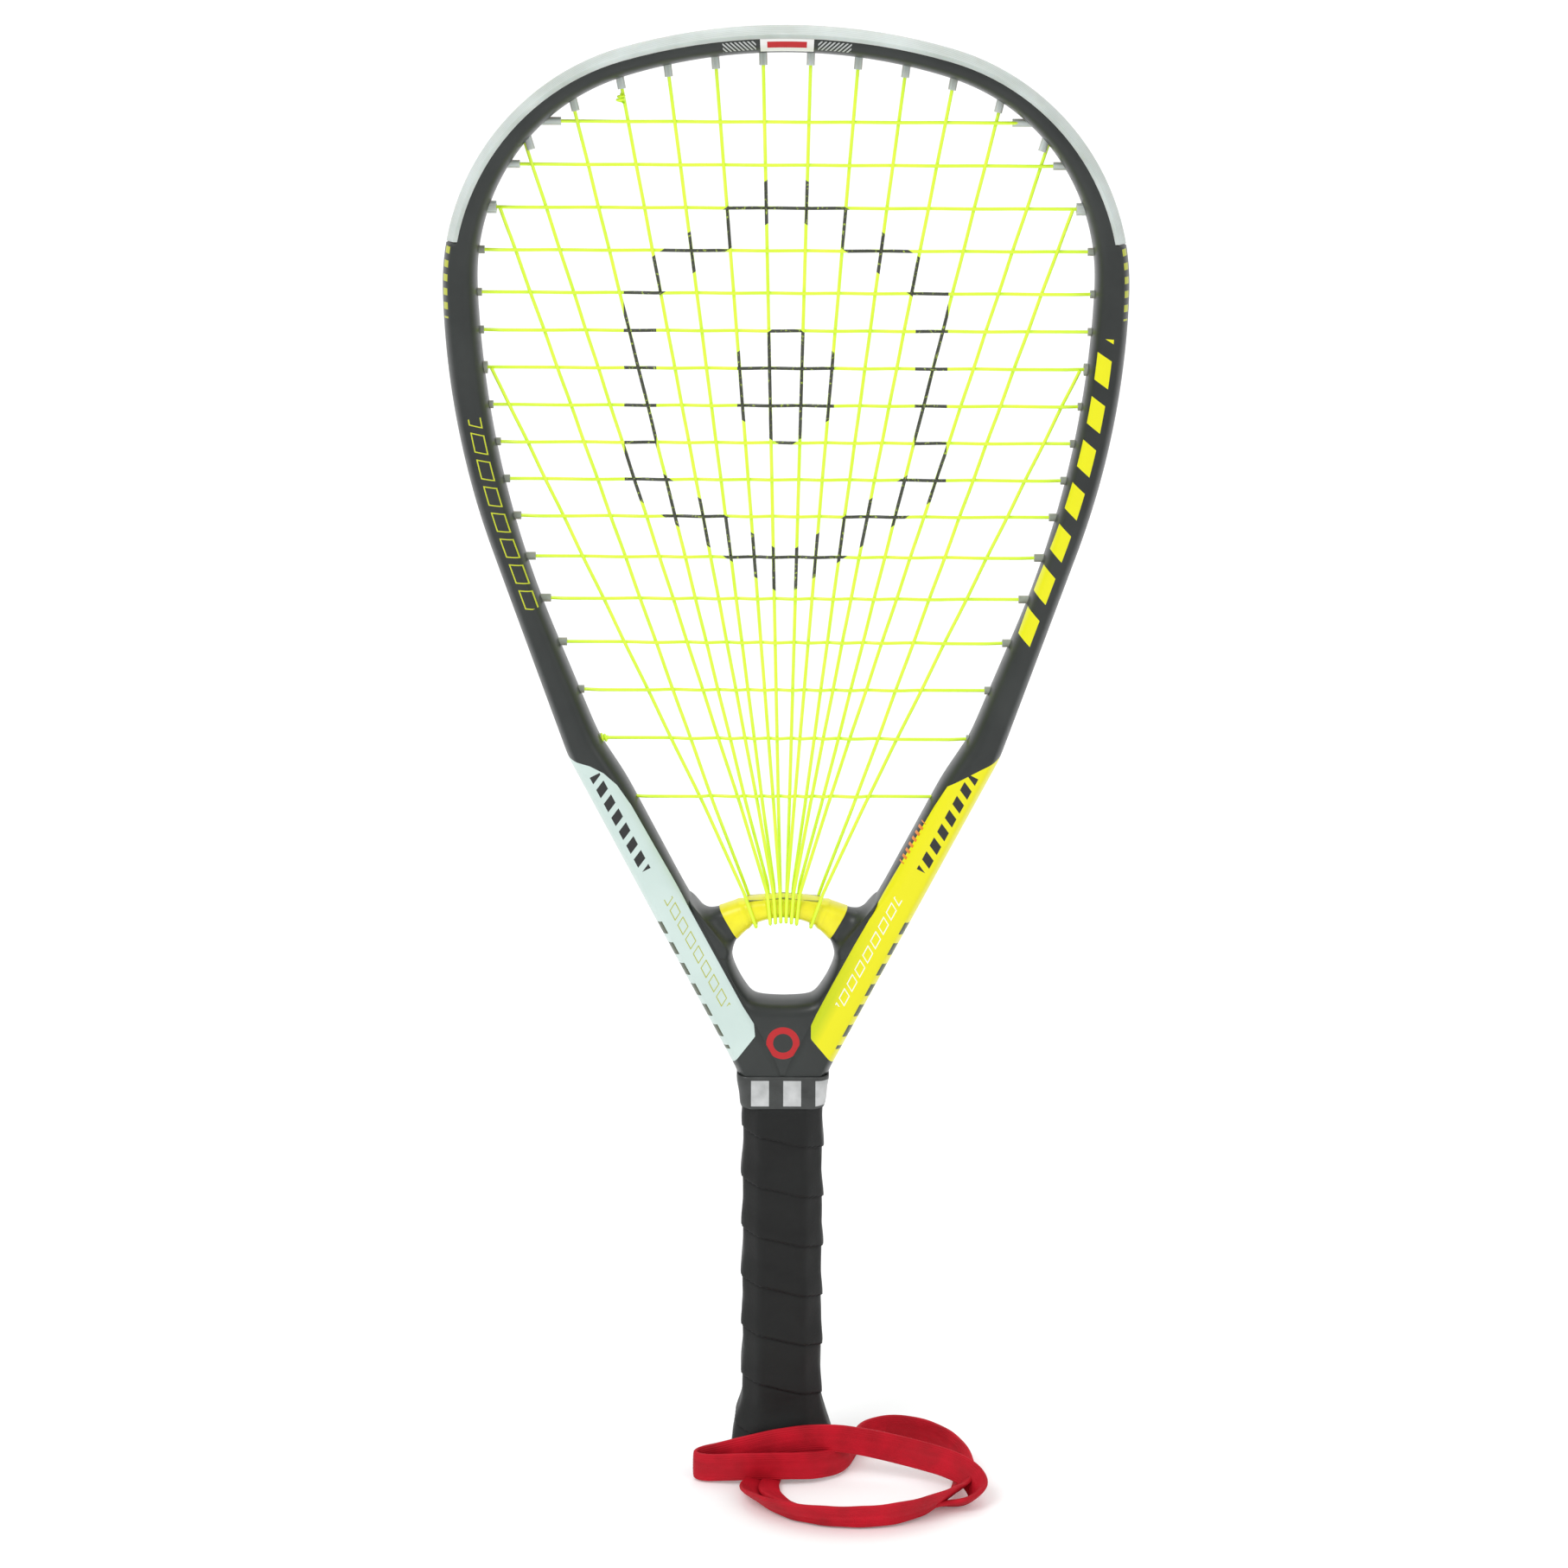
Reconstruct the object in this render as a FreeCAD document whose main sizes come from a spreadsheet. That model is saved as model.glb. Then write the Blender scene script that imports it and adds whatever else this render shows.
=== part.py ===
import FreeCAD, Part
import math
import os
import Sketcher
from FreeCAD import Vector

# Racketball racket: one-piece hollow carbon frame, strung head, bridged throat, wrapped handle.
# Frame of the part: +X right, -Y the playing face that is seen first, +Z up along the handle.
# The origin is the centre of the flat underside of the butt cap. Lengths are in millimetres.

DIMENSIONS = [
    ("overall_length", 559.0),
    ("head_width", 253.0),
    ("beam_depth", 21.0),
    ("top_radius", 224.0),
    ("top_angle", 15.7),
    ("corner_end_angle", 90.8),
    ("side_radius", 308.0),
    ("side_end_angle", 109.3),
    ("top_wall", 9.7),
    ("inner_top_radius", 203.0),
    ("inner_top_angle", 17.1),
    ("side_wall", 12.5),
    ("inner_corner_end_angle", 91.6),
    ("inner_side_radius", 373.0),
    ("inner_side_end_angle", 112.0),
    ("shoulder_drop", 272.5),
    ("arm_width", 15.6),
    ("step_height", 16.0),
    ("neck_drop", 397.0),
    ("neck_flare", 2.6),
    ("heel_inset", 1.6),
    ("bevel_in", 3.0),
    ("bevel_back", 7.0),
    ("edge_round", 2.2),
    ("tube_wall", 1.6),
    ("channel_width", 5.2),
    ("channel_depth", 2.2),
    ("channel_floor", 1.7),
    ("guard_thickness", 1.4),
    ("guard_reach", 78.0),
    ("strip_thickness", 1.3),
    ("strip_drop", 295.0),
    ("strip_play", 0.1),
    ("barrel_diameter", 3.0),
    ("shared_barrel_diameter", 4.6),
    ("barrel_wall", 0.75),
    ("barrel_proud", 1.6),
    ("barrel_clearance", 0.1),
    ("string_diameter", 1.3),
    ("string_plane_offset", 0.7),
    ("string_clearance", 0.15),
    ("main_pitch", 17.3),
    ("first_cross_drop", 34.8),
    ("hole_drop", 335.2),
    ("hole_foot_drop", 368.1),
    ("foot_rise", 17.5),
    ("hole_share", 0.8276),
    ("bridge_drop", 327.4),
    ("bridge_depth", 13.0),
    ("sleeve_share", 0.6983),
    ("sleeve_thickness", 1.2),
    ("bridge_strip_thickness", 0.8),
    ("shaft_inset", 6.0),
    ("core_wall", 3.2),
    ("shaft_foot", 26.0),
    ("leg_gap", 0.3),
    ("grip_drop", 409.5),
    ("grip_width", 32.0),
    ("grip_depth", 27.0),
    ("grip_bevel", 7.0),
    ("grip_thickness", 1.8),
    ("flare_start", 30.0),
    ("flare_end", 11.0),
    ("butt_width", 40.4),
    ("butt_depth", 33.6),
    ("butt_bevel", 9.0),
    ("lip_height", 3.0),
    ("cap_edge", 0.4),
    ("ledge_height", 11.5),
    ("collar_thickness", 0.8),
    ("collar_flare", 5.4),
    ("collar_bevel", 3.0),
    ("collar_play", 0.1),
    ("plug_diameter", 18.0),
    ("plug_thickness", 2.4),
    ("cord_hole", 4.2),
    ("cord_diameter", 3.0),
    ("knot_diameter", 10.0),
    ("knot_rise", 1.5),
    ("cord_end_spread", 6.0),
    ("notch_width", 10.0),
    ("notch_offset", 3.0),
    ("notch_height", 4.8),
    ("screw_diameter", 2.6),
    ("screw_length", 4.5),
    ("screw_height", 19.0),
    ("clearance", 0.1),
]

doc = FreeCAD.newDocument("racket")
sheet = doc.addObject("Spreadsheet::Sheet", "Dimensions")
for row_number, (alias, value) in enumerate(DIMENSIONS, start=1):
    sheet.set("A%d" % row_number, alias)
    sheet.set("B%d" % row_number, str(value))
    sheet.setAlias("B%d" % row_number, alias)
doc.recompute()


def size(alias):
    """Value of one driving dimension of the sheet."""
    return float(sheet.get(alias))


def level(alias):
    """Height of a level that the sheet gives as a drop from the top of the head."""
    return size("overall_length") - size(alias)


nodes = {}


def keep(node, thing):
    """Registers a finished sub-part under its own name."""
    thing.Label = node
    nodes[node] = thing
    return thing


def keep_shape(node, shape):
    """Registers a sub-part whose shape has no sketch or primitive of its own."""
    feature = doc.addObject("Part::Feature", node)
    feature.Shape = shape
    return keep(node, feature)


# ---------------------------------------------------------------- outline of the head and the arms


def at(x, z, y=0.0):
    return Vector(x, y, z)


def arc_chain(top_z, arcs):
    """Tangent arcs from the crown down the right side: (centre, radius, from angle, to angle).

    Angles turn from straight up towards +X, so an arc's point at angle t is
    centre + radius * (sin t, cos t) and the outline's heading there is t too.
    """
    point = (0.0, top_z)
    heading = 0.0
    chain = []
    for radius, end in arcs:
        centre = (point[0] - radius * math.sin(heading), point[1] - radius * math.cos(heading))
        chain.append((centre, radius, heading, end))
        point = (centre[0] + radius * math.sin(end), centre[1] + radius * math.cos(end))
        heading = end
    return chain


def corner_radius(half_width, radius, angle):
    """Radius of the corner arc that reaches half_width when it follows the crown arc."""
    return (half_width - radius * math.sin(angle)) / (1.0 - math.sin(angle))


def chain_point(link, angle, inset=0.0):
    centre, radius = link[0], link[1] - inset
    return at(centre[0] + radius * math.sin(angle), centre[1] + radius * math.cos(angle))


def chain_edges(chain, inset=0.0):
    edges = []
    for link in chain:
        start, end = link[2], link[3]
        points = [chain_point(link, angle, inset) for angle in (start, (start + end) / 2.0, end)]
        edges.append(Part.Arc(*points).toShape())
    return edges


def rounded_run(points, radii):
    """Straight runs joined by tangent arcs; radii holds one radius per inner point."""
    edges = []
    start = points[0]
    for corner, following, radius in zip(points[1:-1], points[2:], radii):
        inward = (start - corner).normalize()
        outward = (following - corner).normalize()
        half_turn = (math.pi - inward.getAngle(outward)) / 2.0
        reach = radius * math.tan(half_turn)
        first = corner + inward * reach
        last = corner + outward * reach
        bisector = (inward + outward).normalize()
        middle = corner + bisector * (radius / math.cos(half_turn) - radius)
        edges.append(Part.LineSegment(start, first).toShape())
        edges.append(Part.Arc(first, middle, last).toShape())
        start = last
    edges.append(Part.LineSegment(start, points[-1]).toShape())
    return edges


def radians(alias):
    return math.radians(size(alias))


def outer_chain():
    half = size("head_width") / 2.0
    angle = radians("top_angle")
    corner = corner_radius(half, size("top_radius"), angle)
    arcs = [(size("top_radius"), angle), (corner, radians("corner_end_angle")),
            (size("side_radius"), radians("side_end_angle"))]
    return arc_chain(size("overall_length"), arcs)


def inner_chain():
    half = size("head_width") / 2.0 - size("side_wall")
    angle = radians("inner_top_angle")
    corner = corner_radius(half, size("inner_top_radius"), angle)
    arcs = [(size("inner_top_radius"), angle), (corner, radians("inner_corner_end_angle")),
            (size("inner_side_radius"), radians("inner_side_end_angle"))]
    return arc_chain(size("overall_length") - size("top_wall"), arcs)


def down_line(start, heading, height):
    """Point at the given height on the line that leaves start along heading."""
    drop = start.z - height
    return at(start.x - drop * math.tan(heading - math.pi / 2.0), height)


OUTER = outer_chain()
INNER = inner_chain()
SIDE_END = chain_point(OUTER[-1], OUTER[-1][3])
SHOULDER = down_line(SIDE_END, OUTER[-1][3], level("shoulder_drop"))
NECK_WIDTH = size("grip_width") + size("neck_flare")
NECK = at(NECK_WIDTH / 2.0, level("neck_drop"))
SHAFT_WIDTH = size("grip_width") / 2.0 - size("shaft_inset")
SHAFT_DEPTH = size("grip_depth") - size("grip_bevel") - size("core_wall")
ARM_SLOPE = math.atan2(SHOULDER.x - NECK.x, SHOULDER.z - NECK.z)
ARM_DOWN = at(-math.sin(ARM_SLOPE), -math.cos(ARM_SLOPE))
ARM_OUT = at(math.cos(ARM_SLOPE), -math.sin(ARM_SLOPE))
SHOULDER_ROUND = 60.0
STEP_ROUND = 9.0
CUT_OVER = 1.0
HALF_GAP = size("leg_gap") / 2.0
HALF_DEPTH = size("beam_depth") / 2.0


def outer_edges(inset):
    """Outer outline of the right half, from the crown to the neck, moved inwards by inset."""
    side_heading = OUTER[-1][3]
    side_out = at(math.sin(side_heading), math.cos(side_heading))
    half_kink = (ARM_SLOPE - (side_heading - math.pi / 2.0)) / 2.0
    kink_out = (side_out + ARM_OUT).normalize()
    start = SIDE_END - side_out * inset
    shoulder = SHOULDER - kink_out * (inset / math.cos(half_kink))
    neck = NECK - ARM_OUT * inset
    return chain_edges(OUTER, inset) + rounded_run([start, shoulder, neck], [SHOULDER_ROUND - inset])


def inner_shoulder(wall):
    """Point of an arm's inner line beside the shoulder, wall deep in the arm."""
    return SHOULDER - ARM_OUT * (size("arm_width") - wall)


def arm_inner_point(height, wall=0.0):
    """Point of an arm's inner line at the given height."""
    start = inner_shoulder(wall)
    return start + ARM_DOWN * ((start.z - height) / math.cos(ARM_SLOPE))


def crotch(wall=0.0):
    """Where the inner line of the right arm meets the slit between the two legs."""
    start = inner_shoulder(wall)
    return start + ARM_DOWN * ((start.x - HALF_GAP - wall) / math.sin(ARM_SLOPE))


def extrude(edges, half_depth):
    """Flat region bounded by the edges, thickened equally to both sides of the string plane."""
    wire = Part.Wire(Part.__sortEdges__(edges))
    face = Part.Face(wire)
    face.translate(Vector(0, -half_depth, 0))
    return face.extrude(Vector(0, 2.0 * half_depth, 0))


def mirrored(shape):
    return shape.mirror(Vector(0, 0, 0), Vector(1, 0, 0))


def both(edges):
    """The edges of the right half with those of the left half."""
    return edges + [mirrored(edge) for edge in edges]


def band(outer_inset, inner_inset, half_depth, end_height):
    """Strip that follows the outer outline between two insets, down to a height on both sides."""
    outside = outer_edges(outer_inset)
    inside = outer_edges(inner_inset)
    end = Part.LineSegment(outside[-1].Vertexes[-1].Point, inside[-1].Vertexes[-1].Point).toShape()
    strip = extrude(both(outside + inside + [end]), half_depth)
    reach = size("head_width")
    above = Part.makeBox(2.0 * reach, 4.0 * half_depth, size("overall_length"),
                         at(-reach, end_height, -2.0 * half_depth))
    return strip.common(above)


def frame_outline(inset, wall=0.0):
    """Closed outline of the frame, or of the cavity in it.

    The outer line moves inwards by inset, and every other line by wall.
    """
    outer = outer_edges(inset)
    heel = (size("grip_width") - size("heel_inset")) / 2.0
    neck_low = at(heel - inset, level("grip_drop") + wall)
    shaft_outside = HALF_GAP + SHAFT_WIDTH - wall
    foot = size("shaft_foot") + wall
    inner_side_end = chain_point(INNER[-1], INNER[-1][3], -wall)
    step_middle = level("shoulder_drop")
    half_step = size("step_height") / 2.0
    step_top = down_line(inner_side_end, INNER[-1][3], step_middle + half_step)
    step_low = arm_inner_point(step_middle - half_step, wall)
    legs = [outer[-1].Vertexes[-1].Point, neck_low, at(shaft_outside, neck_low.z),
            at(shaft_outside, foot), at(HALF_GAP + wall, foot), crotch(wall)]
    edges = list(outer)
    for first, last in zip(legs[:-1], legs[1:]):
        edges.append(Part.LineSegment(first, last).toShape())
    edges += rounded_run([legs[-1], step_low, step_top, inner_side_end], [STEP_ROUND, STEP_ROUND])
    return both(edges + chain_edges(INNER, -wall))


def edges_on(solid, outline, half_depth):
    """Edges of the solid's two flat faces that lie on the given outline edges."""
    chosen = []
    for edge in solid.Edges:
        middle = edge.valueAt((edge.FirstParameter + edge.LastParameter) / 2.0)
        if abs(abs(middle.y) - half_depth) > 1e-4:
            continue
        flat = Part.Vertex(at(middle.x, middle.z))
        if min(flat.distToShape(line)[0] for line in outline) < 1e-3:
            chosen.append(edge)
    return chosen


def bevelled(inset):
    """The frame's solid with its wide outer bevels."""
    solid = extrude(frame_outline(inset), HALF_DEPTH)
    outside = edges_on(solid, both(outer_edges(inset)), HALF_DEPTH)
    return solid.makeChamfer(size("bevel_back"), size("bevel_in"), outside)


def rounded_inside(solid):
    """The same solid with the inner edges of the head rounded."""
    inside = edges_on(solid, both(chain_edges(INNER)), HALF_DEPTH)
    return solid.makeFillet(size("edge_round"), inside)


# ---------------------------------------------------------------- outline of the throat


def mirror_points(points):
    """Right-hand points followed by their mirror images, back to the middle."""
    return points + [at(-point.x, point.z) for point in reversed(points) if point.x > 0.0]


def polygon(points):
    """Closed run of straight edges through the points."""
    return [Part.LineSegment(first, last).toShape() for first, last in zip(points, points[1:] + points[:1])]


def slab(points, half_depth):
    return extrude(polygon(points), half_depth)


def upright_edges(solid):
    """Edges that run straight through the slab, from its front to its back."""
    return [edge for edge in solid.Edges
            if len(edge.Vertexes) == 2 and abs(edge.tangentAt(edge.FirstParameter).y) > 0.999]


BRIDGE_FOOT = level("hole_foot_drop") + size("foot_rise")
SEAM = size("clearance") / 2.0
BRIDGE_HALF = size("bridge_depth") / 2.0


def arm_side(height):
    """Point on the inner face of the right arm, a seam's width clear of it."""
    return arm_inner_point(height, -SEAM)


# The hole's half width follows the room between the arms. Its corners lie at these shares of it:
# the lower corner, the upper one under the sleeve's end, and the end of the bridge's flat underside.
HOLE_HALF = size("hole_share") * arm_side(BRIDGE_FOOT).x
LOW_CORNER, SIDE_CORNER, FLAT_END = 0.59, 0.867, 0.541
HOLE_SAG = 1.6
HOLE_SIDE = 17.0
HOLE_SHOULDER = 7.2
HOLE_CROWN = 2.2
HOLE_ROUND = 3.0


def underside(x):
    """Height of the bridge's underside near its middle."""
    return level("hole_drop") - HOLE_CROWN * x / (FLAT_END * HOLE_HALF)


def throat_hole(grow):
    """Cutter for the rounded six-sided opening under the bridge, enlarged by grow."""
    half = HOLE_HALF + grow
    low = level("hole_foot_drop") - grow
    top = level("hole_drop") + grow
    side = level("hole_foot_drop") + HOLE_SIDE
    points = [at(0.0, low), at(half * LOW_CORNER, low + HOLE_SAG), at(half, side),
              at(half * SIDE_CORNER, side + HOLE_SHOULDER), at(half * FLAT_END, top - HOLE_CROWN),
              at(0.0, top)]
    solid = slab(mirror_points(points), HALF_DEPTH + CUT_OVER)
    corners = [edge for edge in upright_edges(solid) if abs(edge.Vertexes[0].X) > HOLE_SAG]
    return solid.makeFillet(HOLE_ROUND, corners)


# The bridge's top line: shares of its half span and drops from its middle, out to the arms.
ARM_DROP = 2.0
BRIDGE_SPAN = arm_side(level("bridge_drop") - ARM_DROP).x
BRIDGE_BENDS = [(0.404, 1.2), (size("sleeve_share"), 4.2), (0.8368, 5.0)]


def bridge_line(lowering):
    """Top line of the bridge's right half, from the middle to the arm."""
    top = level("bridge_drop") - lowering
    bends = [at(share * BRIDGE_SPAN, top - drop) for share, drop in BRIDGE_BENDS]
    return [at(0.0, top)] + bends + [arm_side(top - ARM_DROP)]


# Where the pairs of main strings wrap round the bridge, from the middle out: shares of the bridge's
# half span on its top edge, and shares of the hole's half width on its underside.
WRAP_TOPS = [share * BRIDGE_SPAN for share in (0.0375, 0.1096, 0.1789, 0.4328)]
WRAP_FEET = [share * HOLE_HALF for share in (0.051, 0.153, 0.255, 0.531)]


# ---------------------------------------------------------------- string pattern

# Drops from each cross string to the next one down, evenly close in the middle of the head.
CROSS_DROPS = [15.6] * 4 + [13.9] * 6 + [15.4, 15.9, 16.8, 18.3, 18.8, 22.6]
TOP_MAINS = 6
SHARED_CROSSES = (2, 6)
STRING_TAIL = 0.5
TWIST_ROOM = 1.5
CROSS_HEIGHTS = [size("overall_length") - size("first_cross_drop")]
for drop in CROSS_DROPS:
    CROSS_HEIGHTS.append(CROSS_HEIGHTS[-1] - drop)


def inset_of(point):
    """Distance from a point inside the head to the outer outline."""
    flat = Part.Vertex(at(point.x, point.z))
    return min(edge.distToShape(flat)[0] for edge in OUTLINE)


OUTLINE = outer_edges(0.0)


def march(start, direction, inset):
    """Point where a string that leaves start along direction comes within inset of the outline."""
    low = 0.0
    line = Part.LineSegment(start, start + direction * size("overall_length")).toShape()
    crossing = min((line.distToShape(edge) for edge in OUTLINE), key=lambda found: found[0])
    high = (crossing[1][0][0] - start).Length
    for _ in range(30):
        middle = (low + high) / 2.0
        if inset_of(start + direction * middle) > inset:
            low = middle
        else:
            high = middle
    return start + direction * low


def string_hole(start, direction, y, shared=False):
    """One grommet barrel: mouth inside the head, foot on the floor of the channel, y, bore side."""
    mouth = march(start, direction, size("side_wall") + size("barrel_proud"))
    foot = march(start, direction, size("channel_depth"))
    return {"mouth": mouth, "foot": foot, "direction": direction, "y": y, "shared": shared}


def cross_hole(index):
    shared = index in SHARED_CROSSES
    y = 0.0 if shared else size("string_plane_offset")
    return string_hole(at(20.0, CROSS_HEIGHTS[index]), at(1.0, 0.0), y, shared)


def wrap_point(index):
    return at(WRAP_TOPS[index // 2], level("bridge_drop"))


def main_target(order):
    """Where the main string of this order, counted from the middle, meets the head."""
    if order < TOP_MAINS:
        x = (order + 0.5) * size("main_pitch")
        line = Part.LineSegment(at(x, 400.0), at(x, size("overall_length") + 50.0)).toShape()
        top = min((line.distToShape(edge) for edge in OUTLINE), key=lambda found: found[0])
        return at(x, top[1][0][0].z - size("side_wall"))
    return CROSS_HOLES[SHARED_CROSSES[order - TOP_MAINS]]["mouth"]


def main_hole(order):
    start = wrap_point(order)
    direction = (main_target(order) - start).normalize()
    return string_hole(start, direction, -size("string_plane_offset"))


CROSS_HOLES = [cross_hole(index) for index in range(len(CROSS_HEIGHTS))]
MAIN_HOLES = [main_hole(order) for order in range(TOP_MAINS)]
GUARD_END = size("overall_length") - size("guard_reach")


def hole_diameter(hole):
    return size("shared_barrel_diameter" if hole["shared"] else "barrel_diameter")


def rod(hole, start_inset, end_inset, diameter):
    """Cylinder along a string hole, lengthened past its mouth and its foot."""
    start = hole["mouth"] - hole["direction"] * start_inset + Vector(0, hole["y"], 0)
    end = hole["foot"] + hole["direction"] * end_inset + Vector(0, hole["y"], 0)
    return Part.makeCylinder(diameter / 2.0, (end - start).Length, start, end - start)


# ---------------------------------------------------------------- frame, guard and grommet strips

full_frame = rounded_inside(bevelled(0.0))
slim_frame = bevelled(size("guard_thickness"))
REACH = size("head_width")
GUARD_LAP = 20.0
guard_zone = Part.makeBox(2.0 * REACH, 2.0 * size("beam_depth"), size("overall_length"),
                          at(-REACH, GUARD_END, -size("beam_depth")))
CHANNEL_HALF = size("channel_width") / 2.0
channel = band(-CUT_OVER, size("channel_depth"), CHANNEL_HALF, level("strip_drop"))
right_holes = CROSS_HOLES + MAIN_HOLES
DRILL_OVER = 3.8


def drill(hole):
    """Cutter for the frame at one string hole and at its twin on the left."""
    reach = size("arm_width")
    cutter = rod(hole, reach, size("channel_depth") + DRILL_OVER,
                 hole_diameter(hole) + 2.0 * size("barrel_clearance"))
    return [cutter, mirrored(cutter)]


drills = Part.Compound([cutter for hole in right_holes for cutter in drill(hole)])
RIB_HALF = CHANNEL_HALF - size("strip_play")
ribbed = slim_frame.cut(band(-CUT_OVER, size("channel_depth"), RIB_HALF, GUARD_END - GUARD_LAP))
guard_shell = full_frame.common(guard_zone).cut(ribbed)
GROOVE_DEPTH = 0.6
string_groove = band(-CUT_OVER, GROOVE_DEPTH, size("string_diameter"), GUARD_END)


def shaft_relief(half_depth, rise):
    """Blocks in front of and behind the legs, which make the shafts thinner than the head."""
    width = NECK_WIDTH
    depth = size("beam_depth")
    blocks = [Part.makeBox(2.0 * width, depth, level("grip_drop") + rise, at(-width, 0.0, low))
              for low in (half_depth, -half_depth - depth)]
    return Part.Compound(blocks)


def hollow():
    """Cavity of the moulded tube; its outer wall carries the channel of the grommet strips."""
    wall = size("tube_wall")
    space = extrude(frame_outline(size("channel_depth") + size("channel_floor"), wall), HALF_DEPTH - wall)
    return space.cut(shaft_relief(SHAFT_DEPTH / 2.0 - wall, wall))


cavity = hollow()
upper = full_frame.common(guard_zone).cut(guard_shell).cut(channel.common(guard_zone))
lower = full_frame.cut(guard_zone).cut(channel.cut(guard_zone))
upper = upper.cut(cavity).cut(drills)
lower = lower.cut(cavity).cut(drills).cut(shaft_relief(SHAFT_DEPTH / 2.0, 0.0))
frame = keep_shape("frame", upper.fuse(lower))


BARREL_ROOT = 0.3


def bore_diameter(hole):
    """Bore of a barrel: round one string with play, or wide enough for two."""
    if hole["shared"]:
        return size("shared_barrel_diameter") - size("barrel_wall") * 2.0
    return size("string_diameter") + 2.0 * size("string_clearance")


def grommet_piece(strip, holes):
    """Strip with its barrels and their bores."""
    solid = strip
    for barrel in [rod(hole, 0.0, BARREL_ROOT, hole_diameter(hole)) for hole in holes]:
        solid = solid.fuse(barrel)
    for hole in holes:
        solid = solid.cut(rod(hole, DRILL_OVER, size("channel_depth") + DRILL_OVER, bore_diameter(hole)))
    return solid


def twin(hole):
    """The same hole on the left side."""
    left = dict(hole)
    for key in ("mouth", "foot", "direction"):
        left[key] = at(-hole[key].x, hole[key].z)
    return left


strip_floor = size("channel_depth") - size("strip_thickness")
strips = band(strip_floor, size("channel_depth"), RIB_HALF, level("strip_drop"))
right_strip = [solid for solid in strips.cut(guard_zone).Solids if solid.CenterOfMass.x > 0.0][0]
guard_holes = [hole for hole in right_holes if hole["mouth"].z > GUARD_END]
side_holes = [hole for hole in right_holes if hole["mouth"].z <= GUARD_END]
guard_holes += [twin(hole) for hole in guard_holes]
keep_shape("head_guard", grommet_piece(guard_shell.cut(string_groove), guard_holes))
right_grommets = grommet_piece(right_strip, side_holes)
keep_shape("right_grommet_strip", right_grommets)
keep_shape("left_grommet_strip", mirrored(right_grommets))


# ---------------------------------------------------------------- throat pieces

web = slab([at(0.0, crotch().z + 2.0 * SEAM)] + mirror_points([arm_side(BRIDGE_FOOT)]), HALF_DEPTH)
keep_shape("throat_web", web.cut(throat_hole(0.0)))

arch = slab(mirror_points(bridge_line(0.0) + [arm_side(BRIDGE_FOOT + SEAM)]), BRIDGE_HALF)
arch = arch.cut(throat_hole(0.0))
SLEEVE_REACH = 5.0
SLEEVE_FOOT = 11.0
sleeve_span = [at(size("sleeve_share") * BRIDGE_SPAN, level("bridge_drop") + SLEEVE_REACH),
               at(SIDE_CORNER * HOLE_HALF, level("hole_drop") - SLEEVE_FOOT)]
sleeve_zone = slab(mirror_points(sleeve_span), HALF_DEPTH + CUT_OVER)
LID_SET_BACK = 2.0
strip_line = bridge_line(size("bridge_strip_thickness"))[:2]
lid_top = at(strip_line[-1].x, level("bridge_drop") + CUT_OVER)
strip_lid = slab(mirror_points(strip_line + [lid_top]), BRIDGE_HALF - LID_SET_BACK)
bridge_strip = arch.common(strip_lid)
skin = arch.common(sleeve_zone)
skin_depth = BRIDGE_HALF - size("sleeve_thickness")
core_line = bridge_line(size("sleeve_thickness") + size("bridge_strip_thickness"))
core = slab(mirror_points(core_line + [arm_side(BRIDGE_FOOT + SEAM)]), skin_depth)
core = core.cut(throat_hole(size("sleeve_thickness"))).common(sleeve_zone)
keep_shape("throat_bridge", arch.cut(sleeve_zone).fuse(core).removeSplitter())
keep_shape("bridge_sleeve", skin.cut(core).cut(strip_lid))
keep_shape("bridge_grommet_strip", bridge_strip)


# ---------------------------------------------------------------- strings


def bent_rod(points, radii, diameter):
    """Round rod along straight runs and tangent arcs, made run by run and joined face to face."""
    edges = rounded_run(points, radii)
    start = edges[0].Vertexes[0].Point
    section = Part.Wire(Part.makeCircle(diameter / 2.0, start, points[1] - points[0]))
    spine = Part.Wire(Part.__sortEdges__(edges))
    return spine.makePipeShell([section], True, False), spine.Length


def main_end(order, side):
    """Outer end of a main string, in its own hole or beside a cross string in a shared one."""
    if order < TOP_MAINS:
        hole = MAIN_HOLES[order]
        end = hole["foot"] + hole["direction"] * STRING_TAIL
    else:
        hole = CROSS_HOLES[SHARED_CROSSES[order - TOP_MAINS]]
        end = hole["mouth"] - hole["direction"] * TWIST_ROOM
    return at(side * end.x, end.z, -size("string_plane_offset"))


WRAP_RISE = 2.5
CROSS_ROOM = 4.0
WRAP_RADII = [6.0, 3.0, 0.9, 0.9, 3.0, 6.0]


def wrapped_pair(pair, side):
    """One length of main string: down in front of the bridge, under it and up behind it."""
    top = side * WRAP_TOPS[pair]
    foot = side * WRAP_FEET[pair]
    free = size("string_diameter") / 2.0 + size("clearance")
    low = underside(WRAP_FEET[pair]) - free
    high = level("bridge_drop") + WRAP_RISE
    out = BRIDGE_HALF + free
    leave = CROSS_HEIGHTS[-1] - CROSS_ROOM
    ends = [main_end(2 * pair, side), main_end(2 * pair + 1, side)]
    bends = []
    for end in ends:
        share = (leave - high) / (end.z - high)
        bends.append(at(top + (end.x - top) * share, leave, end.y))
    points = [ends[1], bends[1], at(top, high, -out), at(foot, low, -out),
              at(foot, low, out), at(top, high, out), bends[0], ends[0]]
    return bent_rod(points, WRAP_RADII, size("string_diameter"))[0]


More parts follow.
